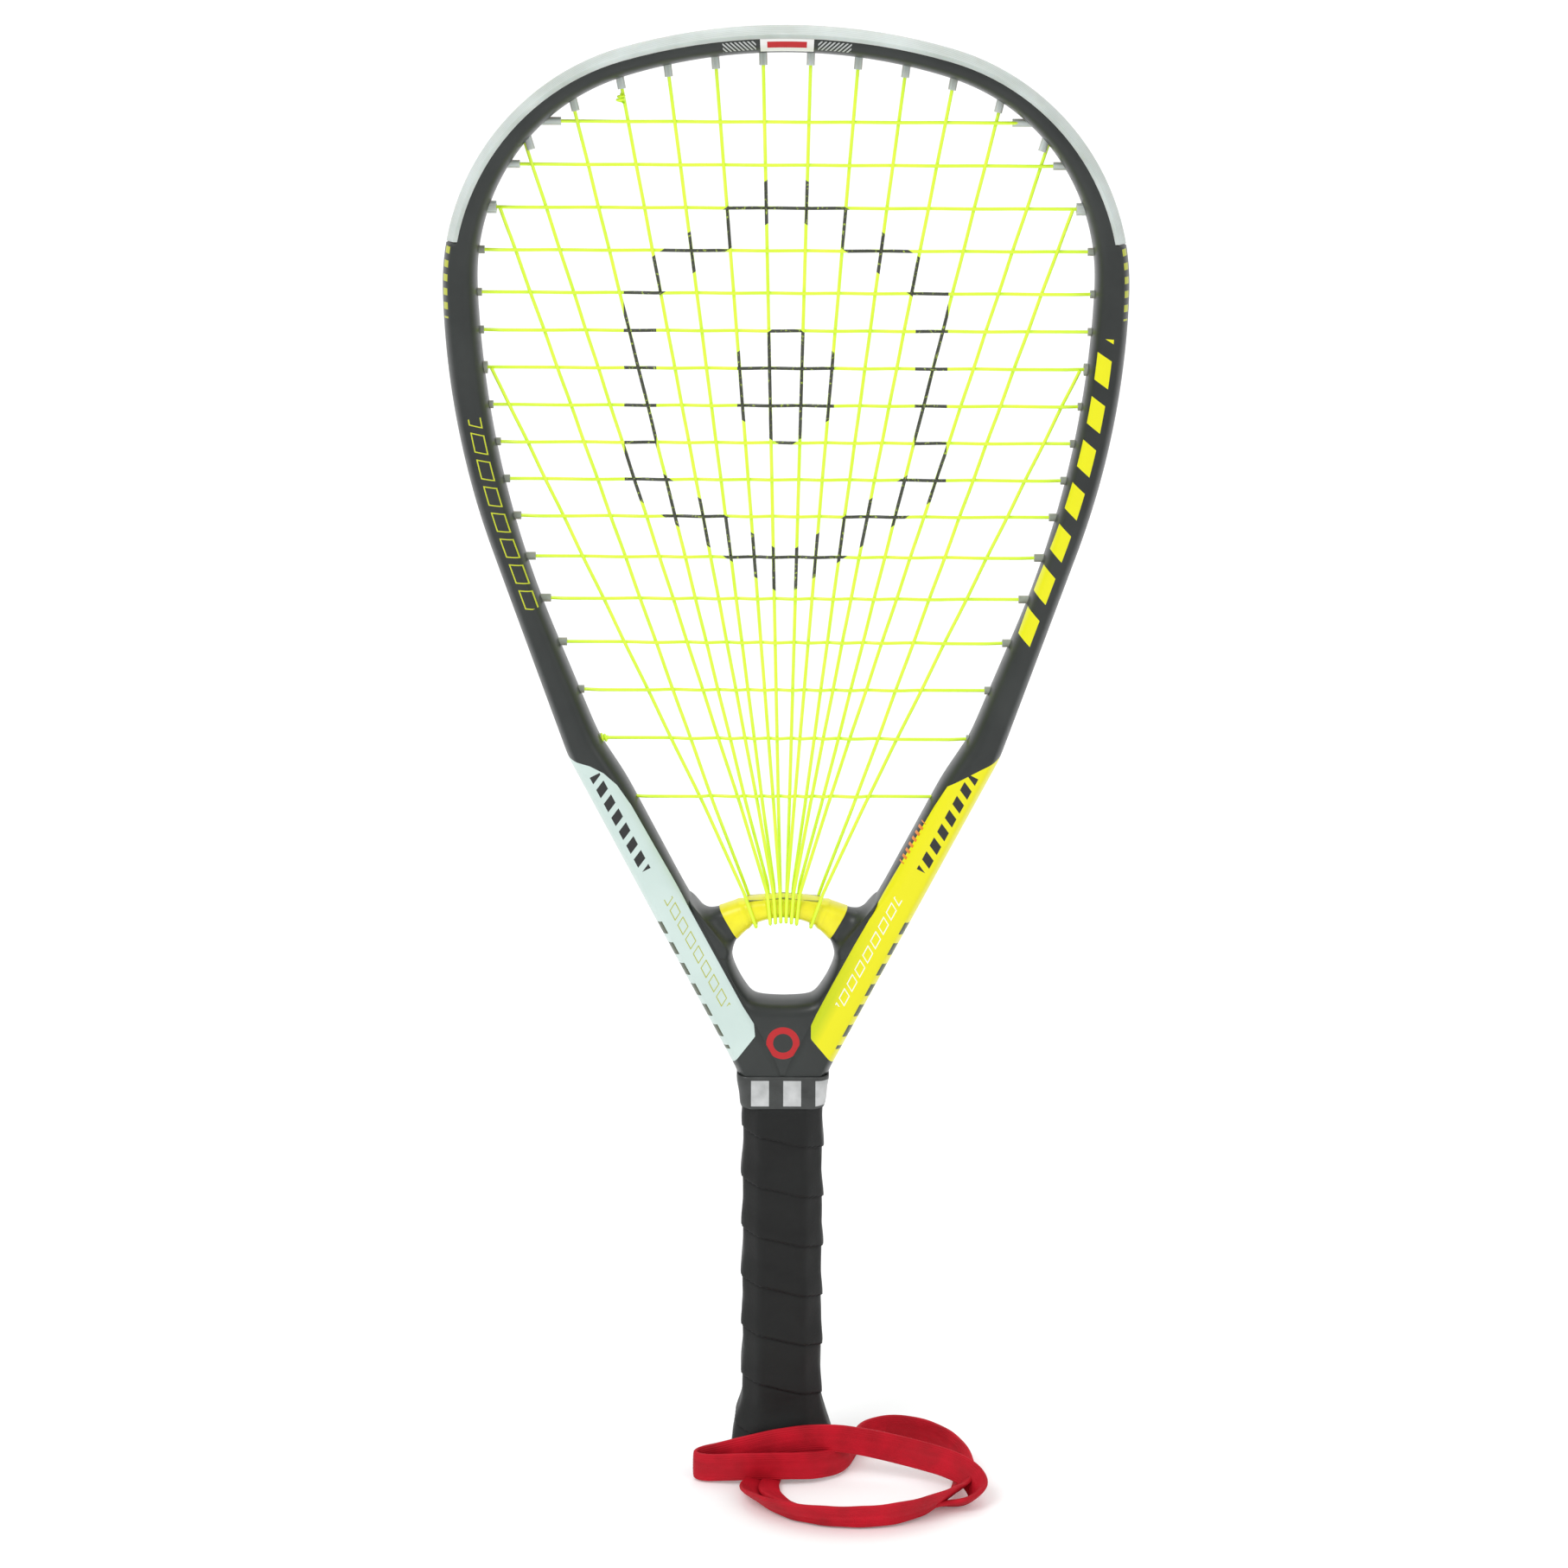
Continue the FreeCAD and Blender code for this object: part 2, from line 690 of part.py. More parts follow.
def cross_string(index):
    """Straight cross string between the channels of both sides."""
    hole = CROSS_HOLES[index]
    end = hole["foot"].x + STRING_TAIL
    y = size("string_plane_offset")
    return Part.makeCylinder(size("string_diameter") / 2.0, 2.0 * end,
                             at(-end, CROSS_HEIGHTS[index], y), Vector(1, 0, 0))


pairs = [wrapped_pair(pair, side) for pair in range(len(WRAP_TOPS)) for side in (-1.0, 1.0)]
keep_shape("main_strings", Part.Compound(pairs))
keep_shape("cross_strings", Part.Compound([cross_string(index) for index in range(len(CROSS_HEIGHTS))]))


# ---------------------------------------------------------------- handle


def polygon_sketch(sketch, corners):
    """Closed run of lines whose corners are bound to pairs of sheet expressions."""
    count = len(corners)
    for index in range(count):
        turns = [2.0 * math.pi * step / count for step in (index, index + 1)]
        ends = [Vector(20.0 * math.cos(turn), 20.0 * math.sin(turn), 0) for turn in turns]
        sketch.addGeometry(Part.LineSegment(*ends), False)
    for index in range(count):
        following = (index + 1) % count
        sketch.addConstraint(Sketcher.Constraint("Coincident", index, 2, following, 1))
    for index, pair in enumerate(corners):
        point = sketch.getPoint(index, 1)
        for axis, value, text in (("X", point.x, pair[0]), ("Y", point.y, pair[1])):
            number = sketch.addConstraint(Sketcher.Constraint("Distance" + axis, -1, 1, index, 1, value))
            name = axis.lower() + str(index)
            sketch.renameConstraint(number, name)
            sketch.setExpression("Constraints." + name, text)
    return sketch


def octagon(width, depth, bevel):
    """Corners of a bevelled rectangle, from expressions for its whole width, depth and bevel."""
    near = ["(%s) / 2" % width, "(%s) / 2" % depth]
    short = ["(%s) / 2 - (%s)" % (width, bevel), "(%s) / 2 - (%s)" % (depth, bevel)]
    return [(near[0], "-(%s)" % short[1]), (near[0], short[1]), (short[0], near[1]),
            ("-(%s)" % short[0], near[1]), ("-(%s)" % near[0], short[1]),
            ("-(%s)" % near[0], "-(%s)" % short[1]), ("-(%s)" % short[0], "-(%s)" % near[1]),
            (short[0], "-(%s)" % near[1])]


def level_sketch(name, corners, height):
    """Free-standing sketch on a level plane at a height given by an expression."""
    sketch = doc.addObject("Sketcher::SketchObject", name)
    polygon_sketch(sketch, corners)
    sketch.setExpression("Placement.Base.z", height)
    return sketch


def loft(name, sections):
    """Ruled solid through level sketches: (corners, height expression) from the bottom up."""
    feature = doc.addObject("Part::Loft", name)
    feature.Sections = [level_sketch(name + "_section", corners, height) for corners, height in sections]
    feature.Solid = True
    feature.Ruled = True
    return feature


def cut(name, base, tool):
    feature = doc.addObject("Part::Cut", name)
    feature.Base = base
    feature.Tool = tool
    return feature


def primitive(kind, name, expressions):
    """Part primitive with its properties bound to expressions."""
    feature = doc.addObject(kind, name)
    for prop, text in expressions.items():
        feature.setExpression(prop, text)
    return feature


GRIP = ("Dimensions.grip_width", "Dimensions.grip_depth", "Dimensions.grip_bevel")
BUTT = ("Dimensions.butt_width", "Dimensions.butt_depth", "Dimensions.butt_bevel")
GRIP_TOP = "Dimensions.overall_length - Dimensions.grip_drop"
NECK_TOP = "Dimensions.overall_length - Dimensions.neck_drop"
SHAFT_HALF_DEPTH = "(Dimensions.grip_depth - Dimensions.grip_bevel - Dimensions.core_wall) / 2"


def inside_of(octagon_sizes, wall):
    """Sizes of the octagon that lies inside another one, a wall's thickness in."""
    width, depth, bevel = octagon_sizes
    shrink = "%s - 2 * (%s)"
    return shrink % (width, wall), shrink % (depth, wall), "%s - 0.586 * (%s)" % (bevel, wall)


def pallet(name, side):
    """One moulded half of the handle core, with the pocket for the two shafts."""
    body = doc.addObject("PartDesign::Body", name)
    wall = "Dimensions.grip_thickness"
    width, depth, bevel = inside_of(GRIP, wall)
    half_x, half_y = "(%s) / 2" % width, "(%s) / 2" % depth
    pocket_x = ("Dimensions.leg_gap / 2 + Dimensions.grip_width / 2 - Dimensions.shaft_inset"
                " + Dimensions.clearance")
    pocket_y = SHAFT_HALF_DEPTH + " + Dimensions.clearance"
    sign = "%d * " % side
    right = [(half_x, "0"), (half_x, sign + "(%s - (%s))" % (half_y, bevel)),
             ("%s - (%s)" % (half_x, bevel), sign + "(%s)" % half_y)]
    pocket = [("-(%s)" % pocket_x, "0"), ("-(%s)" % pocket_x, sign + "(%s)" % pocket_y),
              (pocket_x, sign + "(%s)" % pocket_y), (pocket_x, "0")]
    left = [("-(%s)" % x, y) for x, y in reversed(right)]
    profile = body.newObject("Sketcher::SketchObject", name + "_profile")
    plane = [item for item in body.Origin.OriginFeatures if item.Role == "XY_Plane"][0]
    profile.AttachmentSupport = [(plane, "")]
    profile.MapMode = "FlatFace"
    profile.setExpression("AttachmentOffset.Base.z", "Dimensions.ledge_height")
    polygon_sketch(profile, right + left + pocket)
    pad = body.newObject("PartDesign::Pad", name + "_pad")
    pad.Profile = profile
    pad.setExpression("Length", GRIP_TOP + " - Dimensions.clearance - Dimensions.ledge_height")
    return keep(name, body)


pallet("handle_core_front", -1)
pallet("handle_core_back", 1)

cap_top = inside_of(GRIP, "Dimensions.grip_thickness - Dimensions.cap_edge")
cap_belly = inside_of(BUTT, "Dimensions.grip_thickness + 0.3")
cap_shell = loft("cap_shell", [
    (octagon(*BUTT), "0"), (octagon(*BUTT), "Dimensions.lip_height"),
])
cap_upper = loft("cap_upper", [
    (octagon(*cap_belly), "Dimensions.lip_height"), (octagon(*cap_belly), "Dimensions.flare_end"),
    (octagon(*cap_top), "Dimensions.flare_start"),
])
cap_body = doc.addObject("Part::Fuse", "cap_body")
cap_body.Base = cap_shell
cap_body.Tool = cap_upper
core_fit = inside_of(GRIP, "Dimensions.grip_thickness - Dimensions.clearance / 2")
core_socket = loft("core_socket", [
    (octagon(*core_fit), "Dimensions.ledge_height"), (octagon(*core_fit), "Dimensions.flare_start + 1"),
])
butt_recess = primitive("Part::Cylinder", "butt_recess", {
    "Radius": "Dimensions.plug_diameter / 2", "Height": "Dimensions.ledge_height + 1",
    "Placement.Base.z": "-1",
})
cord_notch = primitive("Part::Box", "cord_notch", {
    "Length": "Dimensions.notch_width", "Width": "Dimensions.butt_depth",
    "Height": "Dimensions.notch_height + 1",
    "Placement.Base.x": "-Dimensions.notch_width / 2 - Dimensions.notch_offset",
    "Placement.Base.y": "-Dimensions.butt_depth", "Placement.Base.z": "-1",
})
hollow_cap = cut("hollow_cap", cap_body, core_socket)
recessed_cap = cut("recessed_cap", hollow_cap, butt_recess)
keep("butt_cap", cut("butt_cap", recessed_cap, cord_notch))

grip_outside = loft("grip_outside", [
    (octagon(*BUTT), "Dimensions.lip_height + 0.1"), (octagon(*BUTT), "Dimensions.flare_end"),
    (octagon(*GRIP), "Dimensions.flare_start"), (octagon(*GRIP), GRIP_TOP),
])
grip_foot = loft("grip_foot", [
    (octagon(*inside_of(BUTT, "Dimensions.grip_thickness")), "Dimensions.lip_height - 1"),
    (octagon(*inside_of(BUTT, "Dimensions.grip_thickness")), "Dimensions.flare_end"),
    (octagon(*inside_of(GRIP, "Dimensions.grip_thickness - Dimensions.cap_edge - 0.1")),
     "Dimensions.flare_start"),
    (octagon(*inside_of(GRIP, "Dimensions.grip_thickness - 0.05")), "Dimensions.flare_start + 4"),
    (octagon(*inside_of(GRIP, "Dimensions.grip_thickness - 0.05")), GRIP_TOP + " + 1"),
])
grip_sleeve = cut("grip_sleeve", grip_outside, grip_foot)
keep("grip_tape", cut("grip_tape", grip_sleeve, cord_notch))

BEAM = "Dimensions.beam_depth + %s"
LAYER = "2 * Dimensions.collar_thickness"
HEEL = "Dimensions.grip_width - Dimensions.heel_inset + Dimensions.collar_play"
NECK_SPAN = "Dimensions.grip_width + Dimensions.neck_flare + %s"
collar_outside = loft("collar_outside", [
    (octagon("Dimensions.grip_width + Dimensions.collar_thickness", BEAM % "Dimensions.collar_flare",
             "Dimensions.collar_bevel"), GRIP_TOP + " + Dimensions.clearance"),
    (octagon(NECK_SPAN % LAYER, BEAM % LAYER, "Dimensions.collar_bevel"), NECK_TOP),
])
collar_inside = loft("collar_inside", [
    (octagon(HEEL, BEAM % "Dimensions.collar_play", "Dimensions.collar_play"), GRIP_TOP),
    (octagon(NECK_SPAN % "Dimensions.collar_play", BEAM % "Dimensions.collar_play",
             "Dimensions.collar_play"), NECK_TOP),
])
keep("collar_tape", cut("collar_tape", collar_outside, collar_inside))


def repeated(name, kind, expressions, places):
    """Copies of a primitive at several places, as one compound."""
    pieces = []
    for index, place in enumerate(places):
        pieces.append(primitive(kind, "%s_%d" % (name, index), dict(expressions, **place)))
    group = doc.addObject("Part::Compound", name)
    group.Links = pieces
    return group


def turned(feature, axis, angle):
    """Turns a primitive; its position stays bound to the sheet."""
    feature.Placement = FreeCAD.Placement(feature.Placement.Base, FreeCAD.Rotation(axis, angle))


screws = repeated("cap_screws", "Part::Cylinder", {
    "Radius": "Dimensions.screw_diameter / 2", "Height": "Dimensions.screw_length",
    "Placement.Base.z": "Dimensions.screw_height",
}, [{"Placement.Base.y": "-Dimensions.grip_depth / 2 + Dimensions.screw_length"},
    {"Placement.Base.y": "Dimensions.grip_depth / 2"}])
for screw in screws.Links:
    turned(screw, Vector(1, 0, 0), 90)
keep("cap_screws", screws)

plug_disc = primitive("Part::Cylinder", "plug_disc", {
    "Radius": "Dimensions.plug_diameter / 2 - Dimensions.clearance / 2",
    "Height": "Dimensions.plug_thickness",
    "Placement.Base.z": "Dimensions.ledge_height - Dimensions.plug_thickness",
})
plug_holes = repeated("plug_holes", "Part::Cylinder", {
    "Radius": "Dimensions.cord_hole / 2", "Height": "Dimensions.ledge_height", "Placement.Base.z": "1",
}, [{"Placement.Base.x": "Dimensions.cord_end_spread / 2"},
    {"Placement.Base.x": "-Dimensions.cord_end_spread / 2"}])
keep("cord_plug", cut("cord_plug", plug_disc, plug_holes))


# ---------------------------------------------------------------- wrist cord

# The route starts in the plug, leaves through the notch, runs round on the floor and over itself,
# and comes back to the notch inside its own first turn.
END_X = size("cord_end_spread") / 2.0
CORD_POINTS = [
    Vector(-END_X, 0.0, 16.0), Vector(-END_X, 0.0, 7.6), Vector(-4.2, -4.8, 3.2),
    Vector(-5.6, -12.0, 2.2),
    Vector(-8.6, -22.5, 2.0), Vector(-12.0, -34.0, 2.6), Vector(-11.0, -46.5, 3.8),
    Vector(-3.0, -58.0, 4.8), Vector(9.0, -65.6, 5.4), Vector(24.0, -69.0, 5.6),
    Vector(39.5, -68.0, 5.8), Vector(53.5, -61.5, 6.6), Vector(64.0, -50.5, 7.6),
    Vector(69.5, -37.5, 8.0), Vector(71.5, -23.5, 6.8), Vector(70.0, -9.0, 5.8),
    Vector(64.5, 5.0, 5.4), Vector(54.0, 15.0, 5.4), Vector(42.0, 17.0, 5.4),
    Vector(32.5, 10.5, 5.4), Vector(28.5, -1.0, 5.4), Vector(25.5, -12.5, 5.4),
    Vector(17.0, -20.5, 5.4), Vector(4.0, -22.2, 5.4), Vector(-10.5, -22.2, 5.4),
    Vector(-22.0, -22.6, 5.4), Vector(-30.0, -21.6, 5.6), Vector(-33.0, -15.8, 6.2),
    Vector(-28.5, -11.4, 7.2), Vector(-22.0, -14.6, 9.0), Vector(-12.0, -18.6, 12.4),
    Vector(2.0, -18.8, 15.8), Vector(17.0, -18.8, 17.0), Vector(32.0, -17.0, 16.6),
    Vector(47.0, -15.0, 15.0), Vector(60.5, -15.5, 13.6), Vector(71.0, -20.5, 12.8),
    Vector(77.5, -28.5, 9.4), Vector(78.0, -38.0, 4.4), Vector(70.5, -44.5, 1.8),
    Vector(59.5, -46.5, 2.4), Vector(50.0, -54.0, 4.0), Vector(38.5, -61.0, 5.0),
    Vector(24.5, -62.4, 5.2), Vector(11.5, -58.8, 4.8), Vector(1.5, -51.5, 4.2),
    Vector(-4.0, -42.0, 3.2), Vector(-5.0, -31.5, 2.4), Vector(-2.6, -21.5, 2.0),
    Vector(-0.6, -12.0, 2.2), Vector(1.8, -4.8, 3.2), Vector(END_X, 0.0, 7.6),
    Vector(END_X, 0.0, 16.0),
]
CORD_FULLNESS = 0.45


def bend_radii(points, fullness):
    """Largest comfortable radius at each inner point: a share of the shorter run beside it."""
    radii = []
    for before, corner, after in zip(points, points[1:], points[2:]):
        first, second = before - corner, after - corner
        half_turn = (math.pi - first.getAngle(second)) / 2.0
        radii.append(fullness * min(first.Length, second.Length) / math.tan(half_turn))
    return radii


cord_radii = bend_radii(CORD_POINTS, CORD_FULLNESS)
cord_shape, cord_length = bent_rod(CORD_POINTS, cord_radii, size("cord_diameter"))
keep_shape("wrist_cord", cord_shape)

knot_centre = (CORD_POINTS[0] + CORD_POINTS[-1]) / 2.0 + Vector(0, 0, size("knot_rise"))
knot = Part.makeSphere(size("knot_diameter") / 2.0, knot_centre)
keep_shape("cord_knot", knot.cut(cord_shape))


# ---------------------------------------------------------------- checks and export

doc.recompute()
for thing in doc.Objects:
    if "Invalid" in thing.State or "Error" in thing.State:
        raise RuntimeError("not built: " + thing.Name)
for node, thing in nodes.items():
    shape = thing.Shape
    if shape.isNull() or not shape.isValid() or not shape.Solids or shape.Volume <= 0.0:
        raise RuntimeError("not a sound solid: " + node)

os.makedirs("parts", exist_ok=True)
for node, thing in nodes.items():
    thing.Shape.exportStep("parts/%s.step" % node)
print(len(nodes), "nodes; cord length", round(cord_length, 1))
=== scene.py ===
import math

import bpy
import numpy as np
from mathutils import Matrix


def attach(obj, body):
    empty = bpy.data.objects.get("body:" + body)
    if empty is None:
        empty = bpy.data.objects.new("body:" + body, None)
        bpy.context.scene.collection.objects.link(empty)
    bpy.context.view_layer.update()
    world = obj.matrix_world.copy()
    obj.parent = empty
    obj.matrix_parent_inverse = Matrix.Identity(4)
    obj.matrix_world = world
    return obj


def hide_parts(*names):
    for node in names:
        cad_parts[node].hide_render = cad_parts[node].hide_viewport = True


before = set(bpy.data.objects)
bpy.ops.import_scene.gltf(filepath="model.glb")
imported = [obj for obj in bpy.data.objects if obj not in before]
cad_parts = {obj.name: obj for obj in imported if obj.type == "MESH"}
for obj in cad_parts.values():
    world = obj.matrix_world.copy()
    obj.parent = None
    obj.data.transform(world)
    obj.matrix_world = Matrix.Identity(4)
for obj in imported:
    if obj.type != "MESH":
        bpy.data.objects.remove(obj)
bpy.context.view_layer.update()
MM = 0.001

# ---------------------------------------------------------------- camera
# A long lens 1.4 m in front of the racket, a little above the top of its head and pitched down.
camera_data = bpy.data.cameras.new("camera")
camera_data.sensor_width = 36.0
camera_data.lens = 86.78
camera_data.clip_end = 20.0
camera = bpy.data.objects.new("camera", camera_data)
bpy.context.scene.collection.objects.link(camera)
CAMERA_PLACE = (0.0, -1.4, 0.61)
PITCH_DOWN, ROLL = math.radians(13.44), math.radians(0.24)
camera_turn = Matrix.Rotation(math.pi / 2.0 - PITCH_DOWN, 4, "X") @ Matrix.Rotation(ROLL, 4, "Z")
camera.matrix_world = Matrix.Translation(CAMERA_PLACE) @ camera_turn
bpy.context.scene.camera = camera
bpy.context.scene.view_settings.view_transform = "Standard"

# One row for each point of the route: x, y, z in millimetres, the lace's lean from flat in degrees,
# and its half width, which is less where the lace is bunched in the notch.
LACE_ROUTE = [
    (-3.0, 0.0, 16.0, 0, 2.5), (-3.0, 0.0, 7.6, 0, 2.5), (-4.2, -4.8, 3.2, 0, 2.5),
    (-5.6, -12.0, 1.8, 4, 2.6), (-8.6, -22.5, 1.4, 8, 3.2), (-12.0, -34.0, 2.4, 20, 4.8),
    (-11.0, -46.5, 4.0, 36, 5.4), (-3.0, -58.0, 5.0, 50, 5.5), (9.0, -65.6, 5.5, 60, 5.5),
    (24.0, -69.0, 5.8, 65, 5.5), (39.5, -68.0, 6.0, 67, 5.5), (53.5, -61.5, 6.3, 64, 5.5),
    (64.0, -50.5, 6.4, 52, 5.5), (70.0, -37.5, 4.8, 36, 5.5), (72.0, -23.5, 4.6, 42, 5.5),
    (70.5, -9.0, 5.8, 68, 5.5), (64.5, 5.0, 6.0, 86, 5.5), (54.0, 15.0, 6.0, 92, 5.5),
    (42.0, 17.0, 6.0, 92, 5.5), (32.5, 10.5, 6.0, 90, 5.5), (28.5, -1.0, 6.0, 90, 5.5),
    (25.5, -13.5, 6.2, 90, 5.5), (17.0, -23.0, 7.0, 88, 5.5), (4.0, -26.6, 8.0, 88, 5.5),
    (-10.5, -26.8, 8.0, 88, 5.5), (-22.0, -25.4, 6.8, 88, 5.5), (-31.0, -23.8, 6.0, 90, 5.5),
    (-34.4, -20.6, 6.2, 90, 5.5), (-31.0, -17.4, 6.8, 90, 5.5), (-22.0, -18.2, 9.0, 92, 5.5),
    (-12.0, -19.8, 12.4, 92, 5.5), (2.0, -19.8, 15.8, 92, 5.5), (17.0, -19.0, 17.0, 92, 5.5),
    (30.0, -18.6, 15.4, 96, 5.5), (43.0, -19.4, 12.8, 104, 5.5), (55.5, -23.0, 11.0, 118, 5.5),
    (66.0, -29.0, 10.2, 128, 5.5), (74.0, -36.0, 8.6, 134, 5.4), (77.0, -44.0, 5.2, 132, 5.0),
    (71.0, -49.5, 3.2, 146, 5.0), (61.0, -48.8, 2.6, 158, 5.2), (50.5, -53.8, 3.0, 162, 5.4),
    (38.5, -61.0, 3.8, 152, 5.4), (24.5, -62.4, 3.8, 152, 5.4), (11.5, -58.8, 3.8, 152, 5.4),
    (1.5, -51.5, 3.6, 153, 5.4), (-4.0, -42.0, 3.0, 158, 5.0), (-5.0, -31.5, 2.0, 168, 4.0),
    (-2.6, -21.5, 1.4, 174, 2.8), (-0.6, -12.0, 1.8, 178, 2.5), (1.8, -4.8, 3.2, 180, 2.5),
    (3.0, 0.0, 7.6, 180, 2.5), (3.0, 0.0, 16.0, 180, 2.5),
]


def new_piece(name, points, faces, material, smooth=True):
    """A mesh object from arrays of points and of quads or triangles, on the racket's own body."""
    mesh = bpy.data.meshes.new(name)
    mesh.from_pydata(np.asarray(points, float).tolist(), [], [list(map(int, face)) for face in faces])
    mesh.update()
    mesh.polygons.foreach_set("use_smooth", np.full(len(mesh.polygons), smooth))
    piece = bpy.data.objects.new(name, mesh)
    bpy.context.scene.collection.objects.link(piece)
    if material:
        mesh.materials.append(material)
    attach(piece, "racket")
    return piece


def grid_faces(rows, columns, close_rows=False, close_columns=True):
    """Quads between neighbouring points of a grid numbered row by row, wrapping round where closed."""
    row = np.arange(rows if close_rows else rows - 1)[:, None]
    column = np.arange(columns if close_columns else columns - 1)[None, :]
    next_row, next_column = (row + 1) % rows, (column + 1) % columns
    corners = [row * columns + column, row * columns + next_column,
               next_row * columns + next_column, next_row * columns + column]
    return np.stack([np.broadcast_to(c, corners[0].shape) for c in corners], -1).reshape(-1, 4)


def tube_faces(rows, columns):
    """Faces of a tube numbered row by row: quads all round it, and one face across each end.

    They point outwards on rows that turn left-handed about the way along. The lace's and the frame's
    rows turn right-handed, so their faces point inwards.
    """
    last = rows * columns - 1
    ends = [list(range(columns)), list(range(last, last - columns, -1))]
    return grid_faces(rows, columns)[:, ::-1].tolist() + ends


def unit(vectors):
    """The same vectors at length 1."""
    return vectors / np.maximum(np.linalg.norm(vectors, axis=-1, keepdims=True), 1e-12)


def set_uv(piece, u, v, name="lay"):
    """UV map from one u and one v for each vertex; the last face of a closed ring runs on past 1."""
    mesh = piece.data
    layer = mesh.uv_layers.new(name=name)
    vertex = np.zeros(len(mesh.loops), int)
    mesh.loops.foreach_get("vertex_index", vertex)
    flat = np.stack([np.asarray(u)[vertex], np.asarray(v)[vertex]], -1)
    starts = np.zeros(len(mesh.polygons), int)
    counts = np.zeros(len(mesh.polygons), int)
    mesh.polygons.foreach_get("loop_start", starts)
    mesh.polygons.foreach_get("loop_total", counts)
    owner = np.repeat(np.arange(len(starts)), counts)
    highest = np.full(len(starts), -np.inf)
    np.maximum.at(highest, owner, flat[:, 0])
    flat[:, 0] += (highest[owner] - flat[:, 0] > 0.5) * 1.0
    layer.data.foreach_set("uv", flat.astype(np.float32).ravel())


class Finish:
    """A Principled material and short ways to wire its pattern nodes."""

    def __init__(self, name, colour, roughness, **sockets):
        self.material = bpy.data.materials.new(name)
        self.material.use_nodes = True
        self.tree = self.material.node_tree
        self.shader = self.tree.nodes["Principled BSDF"]
        self.shader.inputs["Base Color"].default_value = (*colour, 1.0)
        self.shader.inputs["Roughness"].default_value = roughness
        for socket, value in sockets.items():
            self.shader.inputs[socket.replace("_", " ")].default_value = value

    def node(self, kind, settings=None, **inputs):
        """Adds a node; an input is a number, a colour or another node's output."""
        made = self.tree.nodes.new("ShaderNode" + kind)
        for key, value in (settings or {}).items():
            setattr(made, key, value)
        for key, value in inputs.items():
            socket = made.inputs[int(key[1:])] if key[0] == "i" and key[1:].isdigit() else made.inputs[key]
            if isinstance(value, bpy.types.NodeSocket):
                self.tree.links.new(value, socket)
            else:
                socket.default_value = value
        return made

    def math(self, operation, first, second=0.0, third=0.0):
        """Output of one Math node."""
        return self.node("Math", {"operation": operation}, i0=first, i1=second, i2=third).outputs[0]

    def place(self):
        """Object coordinates."""
        return self.node("TexCoord").outputs["Object"]

    def axes(self, vector):
        """The three parts of a vector."""
        return self.node("SeparateXYZ", Vector=vector).outputs

    def noise(self, vector, scale, detail=3.0, stretch=(1.0, 1.0, 1.0)):
        """Cloudy noise from 0 to 1, about a half on average."""
        spread = self.node("Mapping", Vector=vector, Scale=stretch).outputs[0]
        return self.node("TexNoise", Vector=spread, Scale=scale, Detail=detail).outputs[0]

    def blend(self, factor, first, second):
        """The first colour where the factor is 0, the second where it is 1."""
        mix = self.tree.nodes.new("ShaderNodeMix")
        mix.data_type = "RGBA"
        for socket, value in ((mix.inputs[0], factor), (mix.inputs[6], first), (mix.inputs[7], second)):
            if isinstance(value, bpy.types.NodeSocket):
                self.tree.links.new(value, socket)
            else:
                socket.default_value = value if isinstance(value, float) else (*value, 1.0)[:4]
        return mix.outputs[2]

    def spread(self, value, low, high, to_low, to_high):
        """A value between two limits carried over to two others."""
        return self.node("MapRange", i0=value, i1=low, i2=high, i3=to_low, i4=to_high).outputs[0]

    def set(self, socket, value):
        """Wires a node's output to a socket of the Principled shader."""
        self.tree.links.new(value, self.shader.inputs[socket])

    def bump(self, height, strength, distance):
        """Adds a bump on top of those already wired."""
        made = self.node("Bump", Height=height, Strength=strength, Distance=distance)
        before = self.shader.inputs["Normal"].links
        if before:
            self.tree.links.new(before[0].from_socket, made.inputs["Normal"])
        self.set("Normal", made.outputs[0])

    def between(self, value, low, high):
        """1 where the value lies between two limits, 0 outside."""
        above = self.math("GREATER_THAN", value, low)
        return self.math("MULTIPLY", above, self.math("LESS_THAN", value, high))


route = np.array(LACE_ROUTE)
lace_curve = bpy.data.curves.new("lace_route", "CURVE")
lace_curve.dimensions = "3D"
lace_spline = lace_curve.splines.new("NURBS")
lace_spline.points.add(len(route) - 1)
for point, (x, y, z) in zip(lace_spline.points, route[:, :3] * MM):
    point.co = (x, y, z, 1.0)
lace_spline.order_u = 3
lace_spline.use_endpoint_u = True
lace_curve.resolution_u = 24
lace_guide = bpy.data.objects.new("lace_route", lace_curve)
bpy.context.scene.collection.objects.link(lace_guide)
line_mesh = bpy.data.meshes.new_from_object(lace_guide)
lace_line = np.array([vertex.co for vertex in line_mesh.vertices])
bpy.data.objects.remove(lace_guide)


def along(points):
    """Length from the first point of a line to each of its points."""
    return np.concatenate([[0.0], np.cumsum(np.linalg.norm(np.diff(points, axis=0), axis=1))])


def read_line(points, reach, wanted):
    """Points of a line at the wanted places, where each point's own place is its reach."""
    return np.stack([np.interp(wanted, reach, column) for column in points.T], 1)


def sampled(points, count):
    """The same line with its points evenly spaced."""
    reach = along(points)
    return read_line(points, reach, np.linspace(0.0, reach[-1], count))


LACE_STATIONS = 620
LACE_RIBS = 13
BUNCHED_HALF, OPEN_HALF = 2.5, 5.4
lace_path = sampled(lace_line, LACE_STATIONS)
lace_length = float(along(lace_path)[-1])


